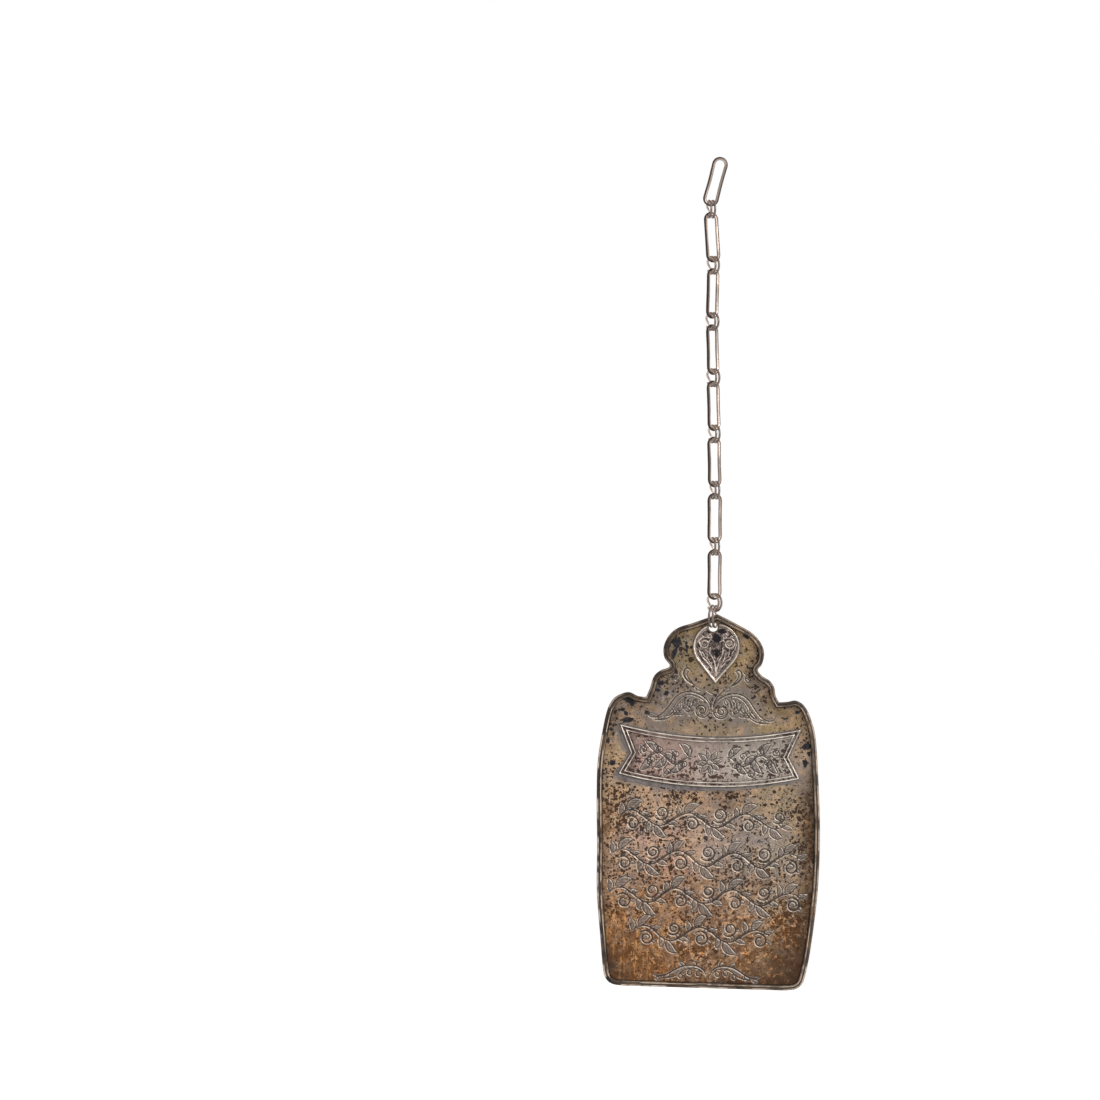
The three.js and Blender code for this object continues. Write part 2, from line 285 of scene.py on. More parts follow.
def banner_outline(steps=14):
    """Two sagging edges with a notch at each end, clockwise."""
    def edge(top, start, end):
        across = np.linspace(start, end, steps + 1)
        sag = BANNER_SAG * (1 - across**2)
        return np.stack([BANNER_ACROSS + across * BANNER_HALF_LENGTH, top - sag], -1)

    def notch(side):
        x = BANNER_ACROSS + side * (BANNER_HALF_LENGTH - BANNER_NOTCH)
        return np.array([[x, -BANNER_DEPTH - BANNER_NOTCH_DROP]])

    low = -BANNER_DEPTH - BANNER_HEIGHT
    return np.concatenate([edge(-BANNER_DEPTH, -1, 1), notch(1), edge(low, 1, -1), notch(-1)])


def inset(outline, distance):
    """Moves a clockwise outline inwards, with mitred corners."""
    first = outline - np.roll(outline, 1, 0)
    second = np.roll(outline, -1, 0) - outline
    first /= np.linalg.norm(first, axis=1)[:, None]
    second /= np.linalg.norm(second, axis=1)[:, None]
    scale = distance / (1 + (first * second).sum(1))
    both = (first + second) * scale[:, None]
    return outline + np.stack([both[:, 1], -both[:, 0]], -1)


def refined(rail, times):
    """A closed line with each of its spans cut into equal parts."""
    after = np.roll(rail, -1, 0)
    t = np.arange(times) / times
    return (rail[:, None] * (1 - t[:, None]) + after[:, None] * t[:, None]).reshape(-1, 2)


def moulding(outline, section, base, times=1, wobble=0.0, seed=5):
    """Rows of a moulding of a given section of (inset, height) round an outline."""
    rails = [refined(inset(outline, distance), times) for distance, _ in section]
    lift = ragged(rails[0][:, 0], rails[0][:, 1], 3.0, seed)
    rows = []
    for rail, (_, height) in zip(rails, section):
        level = base + height * (1 + wobble * lift)
        rows.append(np.stack([rail[:, 0], -level, rail[:, 1]], -1) * MM)
    return np.stack(rows, 1)


def bead_section(start, width, height, steps=9):
    """A low round wire of (inset, height) points that starts and ends on the surface."""
    angles = np.linspace(0, math.pi, steps)
    crown = [(start + width / 2 - math.cos(a) * width / 2, height * math.sin(a) ** 0.8)
             for a in angles]
    return [(start, -0.03), (start + width, -0.03), *crown[::-1]]


# Engraving: grooves and hatched leaves, kept as fields over a grid

# Millimetres between the points of a groove, and how many of its half widths its marks reach
GROOVE_STEP = 0.07
GROOVE_REACH = 1.9


class Field:
    """A grid over a face, in which engraving is drawn before the face is cut to its outline."""

    def __init__(self, low, high, step):
        self.step = step
        self.low = np.array(low, float)
        self.shape = tuple(np.ceil((np.array(high) - low) / step).astype(int) + 1)
        self.x = self.low[0] + step * np.arange(self.shape[0])[:, None] + np.zeros(self.shape)
        self.z = self.low[1] + step * np.arange(self.shape[1])[None, :] + np.zeros(self.shape)
        # Distance from the nearest groove in its half widths, far from all grooves at first
        self.ratio = np.full(self.shape, 9.0)
        # 1 inside a hatched leaf, and there from 0 between its fine cuts to 1 at their deepest
        self.leaf = np.zeros(self.shape)
        self.hatch = np.zeros(self.shape)

    def groove(self, points, width, ends=(0.35, 0.35)):
        """Cuts a line that swells from its ends to its full width."""
        points = np.asarray(points, float)
        spans = np.linalg.norm(np.diff(points, axis=0), axis=1)
        along = np.concatenate([[0], np.cumsum(spans)])
        count = max(int(along[-1] / GROOVE_STEP), 3)
        t = np.linspace(0, along[-1], count)
        px, pz = np.interp(t, along, points[:, 0]), np.interp(t, along, points[:, 1])
        share = t / along[-1]
        swell = np.minimum(ends[0] + share * 5, ends[1] + (1 - share) * 5).clip(0, 1)
        half = width / 2 * swell
        reach = int(math.ceil(GROOVE_REACH * width / 2 / self.step))
        offsets = np.arange(-reach, reach + 1)
        i = np.rint((px - self.low[0]) / self.step).astype(int)[:, None, None] + offsets[None, :, None]
        j = np.rint((pz - self.low[1]) / self.step).astype(int)[:, None, None] + offsets[None, None, :]
        i, j = np.broadcast_arrays(i.clip(0, self.shape[0] - 1), j.clip(0, self.shape[1] - 1))
        gap = np.hypot(self.x[i, j] - px[:, None, None], self.z[i, j] - pz[:, None, None])
        np.minimum.at(self.ratio, (i, j), gap / half[:, None, None])

    def hatched(self, first, second, angle, pitch=0.62):
        """Marks the face between two lines and scores it with close parallel lines."""
        outline = np.concatenate([first, second[::-1]])
        low = np.floor((outline.min(0) - self.low) / self.step).astype(int).clip(0)
        high = np.ceil((outline.max(0) - self.low) / self.step).astype(int) + 1
        window = (slice(low[0], high[0]), slice(low[1], high[1]))
        x, z = self.x[window], self.z[window]
        inside = contains(outline, x, z)
        score = 0.5 + 0.5 * np.cos((x * math.cos(angle) + z * math.sin(angle)) * 2 * math.pi / pitch)
        self.leaf[window] = np.where(inside, 1.0, self.leaf[window])
        self.hatch[window] = np.where(inside, score, self.hatch[window])

    def cut(self):
        """From 0 on the face to 1 in the middle of a groove."""
        return np.clip(1 - self.ratio**2, 0, 1)

    def lip(self):
        """The raised line beside each groove."""
        return np.exp(-(((self.ratio - 1.4) / 0.3) ** 2))

    def relief(self, groove, score, lip):
        """How far the engraving lifts or lowers the face."""
        cut = self.cut()
        return lip * self.lip() - groove * cut - score * self.leaf * self.hatch * (1 - cut)

    def marks(self):
        """What the materials have to know of the engraving."""
        cut, lit = self.cut(), self.lit()
        leaf = self.leaf * (1 - cut)
        # cut is the grooves' darkness: tarnish, with painted shade deepest on the walls that face away
        # from the light at the upper right; lip is a painted highlight beside each groove, strongest on
        # its lit side
        return {
            "cut": cut * (1 - 0.45 * lit), "lip": self.lip() * (1 - cut) * (0.12 + 0.88 * lit**2),
            "leaf": leaf * (0.35 + 0.65 * self.hatch), "score": leaf * (1 - self.hatch),
            "near": np.clip(1.3 - self.ratio / GROOVE_REACH, 0, 1),
        }

    def lit(self):
        """From 0 to 1, how far each side of a groove faces the light from the upper right."""
        along_x, along_z = np.gradient(np.minimum(self.ratio, 3))
        length = np.hypot(along_x, along_z) + 1e-6
        return np.clip(0.5 - 0.5 * (0.6 * along_x + 0.8 * along_z) / length, 0, 1)


def contains(outline, x, z):
    """Which points lie inside a closed outline."""
    inside = np.zeros(x.shape, bool)
    for (ax, az), (bx, bz) in zip(outline, np.roll(outline, -1, 0)):
        if az != bz:
            crosses = (az > z) != (bz > z)
            inside ^= crosses & (x < (bx - ax) * (z - az) / (bz - az) + ax)
    return inside


def spiral(centre, outer, inner, start, turns):
    """A line that winds from its outer to its inner radius; angles and turns run anticlockwise."""
    t = np.linspace(0, 1, int(40 * abs(turns)) + 8)
    radius = outer + (inner - outer) * t**0.8
    angle = start + 2 * math.pi * turns * t
    return np.stack([centre[0] + radius * np.cos(angle), centre[1] + radius * np.sin(angle)], -1)


def engrave_leaf(field, base, angle, length, width, bend, line=0.3):
    """A bent leaf, scored across and with a groove along each side."""
    t = np.linspace(0, 1, LEAF_STEPS + 1)
    turn = angle + bend * (t - 0.5)
    step = length / LEAF_STEPS
    x = base[0] + np.concatenate([[0], np.cumsum(np.cos(turn[:-1]) * step)])
    z = base[1] + np.concatenate([[0], np.cumsum(np.sin(turn[:-1]) * step)])
    half = width / 2 * np.sin(math.pi * t**0.85) ** 0.8
    normal = np.stack([-np.sin(turn), np.cos(turn)], -1) * half[:, None]
    middle = np.stack([x, z], -1)
    field.hatched(middle + normal, middle - normal, angle + 1.1)
    field.groove(middle + normal, line)
    field.groove(middle - normal, line)


def engrave_vine(field, start, end, level, height, seed):
    """A running stem as wide as one row, with curled branches and broad hatched leaves."""
    random = np.random.default_rng(seed)
    bends = max(int(round((end - start) / (height * 0.92))), 3)
    wave = (end - start) / bends
    x = np.linspace(start, end, bends * 16 + 1)
    wander = 0.9 * ragged(x, x * 0, 9.0, seed)
    swing = height * (0.17 + 0.08 * fractal(x, x * 0, 7.0, seed + 3))
    stem = np.stack([x, level + wander + swing * np.sin((x - start) / wave * math.pi)], -1)
    field.groove(stem, 0.5)
    field.groove(stem[6:-5] + [0.05, 0.5], 0.24)

    def at(n, share):
        return stem[min(int((n + share) * 16), len(stem) - 1)]

    for n in range(bends):
        side = 1 if n % 2 == 0 else -1
        loose = random.uniform(-1, 1, 14)
        size = height * (0.25 + 0.025 * loose[2])
        hub = np.array([
            start + wave * (n + 0.6 + 0.05 * loose[0]),
            level - side * height * (0.17 + 0.03 * loose[1]),
        ])
        turn = -side * (1.25 + 0.2 * loose[3])
        branch = spiral(hub, size, size * 0.36, math.pi / 2 * side + side * 0.9, turn)
        field.groove(branch, 0.46, (0.6, 1.0))
        field.groove(spiral(hub, size * 0.76, size * 0.6, math.pi / 2 * side, turn * 0.35), 0.24)
        heart = branch[-1]
        engrave_leaf(field, heart, math.atan2(*(hub - heart)[::-1]), size, size * 0.62,
                     side * 0.8, 0.26)
        for k, share in enumerate((0.3, 0.62)):
            out = branch[int(len(branch) * share * 0.5)]
            angle = math.atan2(*(out - hub)[::-1]) - side * (0.5 + 0.15 * loose[12])
            engrave_leaf(field, out, angle, height * (0.17 + 0.03 * loose[10 + k]),
                         height * 0.1, side * 0.7, 0.26)
        engrave_leaf(field, at(n, 0.4), side * (0.66 + 0.16 * loose[4]),
                     wave * (0.6 + 0.08 * loose[8]), height * (0.235 + 0.03 * loose[5]),
                     -side * 1.3, 0.36)
        engrave_leaf(field, at(n, 0.18), side * (1.6 + 0.2 * loose[6]),
                     wave * (0.42 + 0.06 * loose[9]), height * 0.175, side * 0.9, 0.32)
        engrave_leaf(field, at(n, 0.8), side * (0.1 + 0.16 * loose[7]), wave * 0.42,
                     height * 0.15, side * 0.7, 0.3)


def placed(points, offset=0.0, scale=1.0, lift=0.0):
    """Turns (across, depth) pairs into (across, up), moved, and mirrored by a negative scale."""
    points = np.asarray(points, float)
    return np.stack([offset + scale * points[..., 0], lift - points[..., 1]], -1)


# Small leaves of the crest's right half, each (across, depth, angle, length, width)
CREST_LEAVES = [
    (5.2, 23.0, -1.2, 2.6, 0.9), (7.0, 23.3, -1.35, 2.6, 0.95), (8.7, 24.2, -1.1, 2.5, 0.9),
    (10.4, 26.0, -0.75, 2.6, 0.8), (3.4, 23.0, -1.0, 1.6, 0.7), (12.4, 27.9, -0.2, 2.2, 0.7),
    (5.6, 26.4, 0.5, 1.9, 0.7), (8.4, 27.0, 0.1, 1.9, 0.6), (2.9, 20.6, 0.6, 2.2, 0.8),
    (9.6, 18.3, 2.3, 1.8, 0.8),
]


def engrave_crest(field):
    """The scroll between the drop and the banner: two arches, spirals, lobes and curls."""
    arch = [(0.2, 25.4), (0.7, 24.0), (1.8, 22.7), (3.9, 21.5), (6.4, 21.1), (8.4, 21.7), (9.9, 22.9),
            (11.3, 24.9), (13.0, 27.0), (14.8, 28.1), (16.4, 28.0), (16.9, 27.2), (16.2, 26.8)]
    inner = [(1.5, 24.2), (2.5, 23.1), (4.4, 22.2), (6.3, 21.9), (7.9, 22.6), (9.1, 23.7),
             (10.4, 25.6), (12.0, 27.7)]
    hook = [(4.3, 19.5), (5.6, 18.8), (6.9, 17.9), (7.7, 16.6), (7.5, 15.3), (6.7, 14.8), (6.0, 15.3)]
    hollow = [(5.0, 18.9), (6.0, 18.0), (6.7, 17.0), (6.7, 16.0), (6.3, 15.5)]
    lines = [
        (arch, 0.42), (inner, 0.3), (hook, 0.5, (0.1, 0.6)), (hollow, 0.34, (0.1, 0.5)),
        ([(8.8, 25.6), (9.9, 27.2), (11.9, 28.5), (14.0, 28.9), (15.6, 28.7)], 0.34),
        ([(8.1, 15.3), (8.8, 16.1), (8.6, 17.1)], 0.34),
        ([(3.9, 22.6), (4.9, 23.5), (5.2, 24.5), (4.6, 25.2)], 0.28),
        ([(5.5, 22.5), (6.4, 23.6), (6.3, 24.9), (5.6, 25.6), (5.9, 26.3), (6.8, 26.2)], 0.28),
        ([(7.1, 23.0), (7.9, 24.2), (7.7, 25.6), (8.6, 26.3), (9.4, 25.8)], 0.28),
        ([(6.9, 26.9), (8.1, 27.4), (9.2, 27.2), (10.1, 28.0)], 0.28),
        ([(4.6, 26.5), (5.4, 27.3), (6.4, 27.4)], 0.28),
        ([(9.9, 25.0), (10.2, 26.6), (11.5, 27.6)], 0.28),
    ]
    for side, place in ((1, (0, 1, 0)), (-1, (-0.1, -1, 0.2))):
        for points, *width_and_ends in lines:
            field.groove(curve(placed(points, *place)), *width_and_ends)
        for first, second, *hatching in ((hook, hollow, 0.9, 0.6), (arch, inner, 1.2)):
            field.hatched(curve(placed(first, *place)), curve(placed(second, *place)), *hatching)
        for across, depth, angle, length, width in CREST_LEAVES:
            engrave_leaf(field, placed((across, depth), *place), angle if side > 0 else math.pi - angle,
                         length, width, side * 0.9, 0.26)
        hub = placed((2.6, 26.0), *place)
        field.groove(spiral(hub, 2.3, 0.35, math.pi / 2 + side * 1.3, side * 1.75), 0.42, (0.3, 1))
        field.groove(spiral(hub, 1.75, 0.9, math.pi / 2 + side * 1.0, side * 0.8), 0.26)
    stems = [
        ([(0.2, 25.4), (0.6, 23.6), (1.5, 22.0), (2.6, 20.8), (3.1, 19.8)], 0.4),
        ([(-0.3, 25.2), (-0.3, 23.8), (-1.0, 22.6)], 0.34),
        ([(-1.6, 20.4), (-0.4, 21.2), (0.8, 21.4)], 0.28),
    ]
    for points, width in stems:
        field.groove(curve(placed(points)), width)


def engrave_foot(field):
    """The low spray of scrolls above the lower rim."""
    upper = [(0.4, 96.6), (1.0, 95.2), (2.4, 94.2), (4.4, 93.9), (6.6, 94.3), (8.6, 95.4),
             (10.4, 96.5), (12.4, 97.0), (14.0, 96.6)]
    under = [(0.9, 96.2), (2.0, 95.1), (3.7, 94.7), (5.6, 95.1), (7.4, 96.3)]
    lines = [(upper, 0.46), (under, 0.34), ([(7.6, 96.6), (9.6, 97.3), (11.6, 97.5)], 0.36),
             ([(2.8, 94.0), (3.0, 93.2), (3.6, 92.8), (4.2, 93.2)], 0.36)]
    for side, place in ((1, (1.2, 1)), (-1, (1.0, -1.06))):
        for points, width in lines:
            field.groove(curve(placed(points, *place)), width)
        field.hatched(curve(placed(upper, *place)), curve(placed(under, *place)), 1.2)
        for point in ((2.3, 96.2), (4.5, 96.0), (6.7, 96.9)):
            start = 2.6 if side > 0 else 0.5
            field.groove(spiral(placed(point, *place), 0.95, 0.25, start, -side * 1.2), 0.32)
        for across, depth, angle in ((9.6, 96.3, -0.5), (11.6, 97.2, -0.2), (5.6, 93.9, 0.6)):
            engrave_leaf(field, placed((across, depth), *place), angle if side > 0 else math.pi - angle,
                         1.9, 0.8, side * 0.8, 0.28)


# Solids with an engraved or modelled front

BACK_BEVEL = 0.07


def edge_distance(loops, x, z):
    """Distance to the nearest edge, the nearest point on it, and whether a point is inside."""
    best = np.full(x.shape, 1e9)
    nx, nz = np.zeros(x.shape), np.zeros(x.shape)
    inside = np.zeros(x.shape, bool)
    for loop in loops:
        inside ^= contains(loop, x, z)
        for (ax, az), (bx, bz) in zip(loop, np.roll(loop, -1, 0)):
            dx, dz = bx - ax, bz - az
            t = np.clip(((x - ax) * dx + (z - az) * dz) / (dx * dx + dz * dz + 1e-12), 0, 1)
            cx, cz = ax + t * dx, az + t * dz
            gap = (x - cx) ** 2 + (z - cz) ** 2
            nearer = gap < best
            best = np.where(nearer, gap, best)
            nx, nz = np.where(nearer, cx, nx), np.where(nearer, cz, nz)
    return np.sqrt(best), nx, nz, inside


def merged_blocks(index, plain):
    """Faces over two by two plain cells; each keeps the points that a finer neighbour needs."""
    nx, nz = plain.shape[0] // 2 * 2, plain.shape[1] // 2 * 2
    whole = plain[:nx, :nz].reshape(nx // 2, 2, nz // 2, 2).all((1, 3))
    covered = np.zeros(plain.shape, bool)
    covered[:nx, :nz] = np.repeat(np.repeat(whole, 2, 0), 2, 1)
    beside = np.pad(whole, 1)
    i, j = np.nonzero(whole)
    x, z = 2 * i, 2 * j
    corners = [(x, z + 2), (x, z), (x + 2, z), (x + 2, z + 2)]
    middles = [(x, z + 1), (x + 1, z), (x + 2, z + 1), (x + 1, z + 2)]
    single = [~beside[i, j + 1], ~beside[i + 1, j], ~beside[i + 2, j + 1], ~beside[i + 1, j + 2]]
    groups = []
    for pattern in range(16):
        wanted = [bool(pattern >> k & 1) for k in range(4)]
        chosen = np.all([single[k] == wanted[k] for k in range(4)], 0)
        ring = []
        for k in range(4):
            ring.append(corners[k])
            if wanted[k]:
                ring.append(middles[k])
        groups.append(np.stack([index[a[chosen], b[chosen]] for a, b in ring], -1))
    return [group for group in groups if len(group)], covered


def border_rings(faces, count):
    """The rings of points round the faces where they have no neighbour, each in running order."""
    pairs = np.concatenate([np.stack([f, np.roll(f, -1, 1)], -1).reshape(-1, 2) for f in faces])
    code = pairs[:, 0] * count + pairs[:, 1]
    reverse = pairs[:, 1] * count + pairs[:, 0]
    after = dict(map(tuple, pairs[~np.isin(code, reverse)].tolist()))
    rings = []
    while after:
        start, here = next(iter(after.items()))
        ring = [start]
        after.pop(start)
        while here != start:
            ring.append(here)
            here = after.pop(here)
        rings.append(np.array(ring))
    return rings


def flat_cap(rings, lines):
    """Triangles that close rings of numbered points in one plane, all turned to the back."""
    numbers, places = np.concatenate(rings), np.concatenate(lines)
    outlines = [[Vector((a, b, 0)) for a, b in line] for line in lines]
    cap = np.array(geometry.tessellate_polygon(outlines))
    a, b, c = (places[cap[:, k]] for k in range(3))
    turned = (b[:, 0] - a[:, 0]) * (c[:, 1] - a[:, 1]) - (b[:, 1] - a[:, 1]) * (c[:, 0] - a[:, 0])
    cap = np.where((turned > 0)[:, None], cap[:, ::-1], cap)
    return numbers[cap[np.abs(turned) > 1e-12]]


def front_cells(field, loops, fine):
    """The points of a front, snapped to its outline where they lie close to it, and its faces.

    Where fine is given and false, two by two cells become one.
    """
    distance, nx, nz, inside = edge_distance(loops, field.x, field.z)
    on_edge = distance < 0.5 * field.step
    places = np.stack([np.where(on_edge, nx, field.x), np.where(on_edge, nz, field.z)], -1)
    within = inside & ~on_edge
    kept = within | on_edge
    index = np.arange(kept.size).reshape(kept.shape)
    cells = np.stack([index[:-1, 1:], index[:-1, :-1], index[1:, :-1], index[1:, 1:]], -1)
    keep, sure = kept.ravel()[cells], within.ravel()[cells]
    whole = (keep.sum(-1) == 4) & sure.any(-1)
    blocks = []
    if fine is not None:
        plain = sure.all(-1) & ~fine.ravel()[cells].any(-1)
        blocks, covered = merged_blocks(index, plain)
        whole &= ~covered
    threes = (keep.sum(-1) == 3) & sure.any(-1)
    groups = [cells[whole], cells[threes][keep[threes]].reshape(-1, 3), *blocks]
    return places.reshape(-1, 2), within.ravel(), groups


def relief_solid(name, field, loops, front, back, heights, values, fine=None, elsewhere=None):
    """A closed body: a fine front cut to loops of an outline and its holes, and a flat back.

    The values are fields for the front's points; elsewhere says what they are at all other points.
    """
    places, within, groups = front_cells(field, loops, fine)
    used = np.unique(np.concatenate([group.ravel() for group in groups]))
    renumber = np.zeros(len(within), int)
    renumber[used] = np.arange(len(used))
    faces = [renumber[group] for group in groups]
    flat = places[used]
    level = np.where(within[used], heights.ravel()[used], front)
    points = [np.stack([flat[:, 0], -level, flat[:, 1]], -1)]
    count = len(used)
    back_rings, back_lines = [], []
    for ring in border_rings(faces, count):
        line = flat[ring]
        along = np.roll(line, -1, 0) - np.roll(line, 1, 0)
        along /= np.linalg.norm(along, axis=1)[:, None] + 1e-12
        inward = np.stack([-along[:, 1], along[:, 0]], -1)
        order = np.arange(len(ring))
        # An uneven inset keeps the points of the back's edge off common lines
        bend = 1 + 0.12 * np.sin(2.4 * order)[:, None]
        rows = [ring]
        for shrink, height in ((0.0, back + BACK_BEVEL), (BACK_BEVEL, back)):
            moved = line + inward * shrink * bend
            points.append(np.stack([moved[:, 0], np.full(len(ring), -height), moved[:, 1]], -1))
            rows.append(count + order)
            count += len(ring)
        for upper, lower in zip(rows, rows[1:]):
            faces.append(np.stack([np.roll(upper, -1), upper, lower, np.roll(lower, -1)], -1))
        back_rings.append(rows[-1])
        back_lines.append(points[-1][:, [0, 2]])
    faces.append(flat_cap(back_rings, back_lines))

    mesh = build_mesh(name, np.concatenate(points) * MM, faces)
    other = elsewhere or {}
    spread = {}
    for key, value in values.items():
        picked = value.reshape(-1, *value.shape[2:])[used]
        spread[key] = np.zeros((count, *picked.shape[1:])) + np.asarray(other.get(key, 0.0))
        spread[key][: len(used)] = picked
    set_values(mesh, **spread)
    return mesh


# Materials

# The same weak gloss on all the metal
SPECULAR = 0.15


def light(r, g, b):
    """A colour as written on a screen, as the shader's linear numbers."""
    return tuple(
        (v / 255 / 12.92) if v / 255 <= 0.04045 else ((v / 255 + 0.055) / 1.055) ** 2.4
        for v in (r, g, b)
    )


def fill(node, inputs):
    """Gives a node's inputs, by name or number, plain values or other nodes' sockets."""
    for name, value in inputs.items():
        socket = node.inputs[name]
        if isinstance(value, bpy.types.NodeSocket):
            node.id_data.links.new(value, socket)
        elif isinstance(value, tuple) and len(socket.default_value) == 4:
            socket.default_value = (*value, 1.0)
        else:
            socket.default_value = value
    return node


class Graph:
    """A node tree built from a few kinds of node, with the colour and the bumps it has so far."""

    def __init__(self, holder):
        self.holder = holder
        holder.use_nodes = True
        self.tree = holder.node_tree
        self.tree.nodes.clear()
        self.place = self.node("ShaderNodeTexCoord").outputs
        self.colour = None
        self.normal = None

    def node(self, kind, inputs=None, operation=None):
        """Adds a node of a kind, given its inputs."""
        node = self.tree.nodes.new(kind)
        if operation is not None:
            node.operation = operation
        return fill(node, inputs or {})

    def attribute(self, name, output="Fac"):
        """A value that the mesh has at its points; colours come from the output Color."""
        node = self.node("ShaderNodeAttribute")
        node.attribute_name = name
        return node.outputs[output]

    def mapped(self, stretch):
        """The place on the object, squeezed or stretched along its axes."""
        inputs = {"Vector": self.place["Object"], "Scale": stretch}
        return self.node("ShaderNodeMapping", inputs).outputs["Vector"]

    def noise(self, scale, detail=3.0, roughness=0.55, distortion=0.0, stretch=None):
        """Cloudy noise over the object; a scale of 1000 gives clouds of about a millimetre."""
        return self.node("ShaderNodeTexNoise", {
            "Vector": self.mapped(stretch) if stretch else self.place["Object"], "Scale": scale,
            "Detail": detail, "Roughness": roughness, "Distortion": distortion,
        }).outputs["Fac"]

    def jittered(self, scale, amount, stretch=(1, 1, 1)):
        """The place, shaken a little by noise, so that round dots come out ragged."""
        noise = self.node("ShaderNodeTexNoise", {"Vector": self.place["Object"], "Scale": scale})
        inputs = {0: noise.outputs["Color"], 1: (amount,) * 3, 2: self.mapped(stretch)}
        return self.node("ShaderNodeVectorMath", inputs, "MULTIPLY_ADD").outputs["Vector"]

    def specks(self, scale, share, place, small, large, edge):
        """Dots of differing size, one in each cell of the share of cells that has one."""
        cells = self.node("ShaderNodeTexVoronoi", {"Scale": scale, "Vector": place}).outputs
        parts = self.node("ShaderNodeSeparateColor", {"Color": cells["Color"]}).outputs
        present = self.fit(self.math("SUBTRACT", share, parts["Red"]), 0.0, 0.05)
        radius = self.fit(parts["Green"], 0, 1, small, large)
        near = self.fit(self.math("SUBTRACT", radius, cells["Distance"]), 0.0, edge)
        return self.times(present, near)

    def fit(self, value, low, high, start=0.0, end=1.0):
        """Takes the run from low to high to a smooth run from start to end."""
        node = self.node("ShaderNodeMapRange")
        node.interpolation_type = "SMOOTHSTEP"
        inputs = {"Value": value, "From Min": low, "From Max": high, "To Min": start, "To Max": end}
        return fill(node, inputs).outputs["Result"]

    def math(self, operation, a, b):
        return self.node("ShaderNodeMath", {0: a, 1: b}, operation).outputs[0]

    def times(self, a, b):
        return self.math("MULTIPLY", a, b)

    def plus(self, a, b):
        return self.math("ADD", a, b)

    def most(self, a, b):
        return self.math("MAXIMUM", a, b)

    def mix(self, first, second, factor):
        node = self.node("ShaderNodeMix")
        node.data_type = "RGBA"
        return fill(node, {"Factor": factor, 6: first, 7: second}).outputs[2]

    def over(self, colour, factor):
        """Lays a colour, as written on a screen, over the colour that the graph has so far."""
        self.colour = self.mix(self.colour, light(*colour), factor)

    def leaves(self, grain, pale, dark, share, score):
        """Greys the engraved leaves, and darkens them between their fine cuts."""
        grey = self.mix(light(*pale), light(*dark), self.fit(grain, 0.42, 0.6))
        self.colour = self.mix(self.colour, grey, self.times(self.attribute("leaf"), share))
        self.over(score, self.times(self.attribute("score"), 0.6))

    def grooves(self, dark, bright, share):
        """Darkens the engraved grooves, tarnish with painted shade, and paints a highlight on the lips
        beside them.
        """
        self.over(dark, self.fit(self.attribute("cut"), 0, 0.6, 0, 0.9))
        self.over(bright, self.times(self.attribute("lip"), share))

    def bump(self, height, distance, strength):
        """Raises the surface on top of the bumps so far."""
        inputs = {"Height": height, "Distance": distance, "Strength": strength}
        if self.normal is not None:
            inputs["Normal"] = self.normal
        self.normal = self.node("ShaderNodeBump", inputs).outputs["Normal"]

    def metal(self, metallic, roughness):
        """The finished material, with the colour and the bumps so far."""
        shader = self.node("ShaderNodeBsdfPrincipled", {
            "Base Color": self.colour, "Metallic": metallic, "Roughness": roughness,
            "Specular IOR Level": SPECULAR, "Normal": self.normal,
        })
        self.node("ShaderNodeOutputMaterial", {"Surface": shader.outputs["BSDF"]})
        return self.holder

    def seen(self):
        """1 for the rays that see the white ground: the camera's, off gloss and through glass."""
        path = self.node("ShaderNodeLightPath").outputs
        either = self.most(path["Is Camera Ray"], path["Is Glossy Ray"])
        return self.most(either, path["Is Transmission Ray"])


def new_graph(name):
    """A graph for a new material."""
    return Graph(bpy.data.materials.new(name))


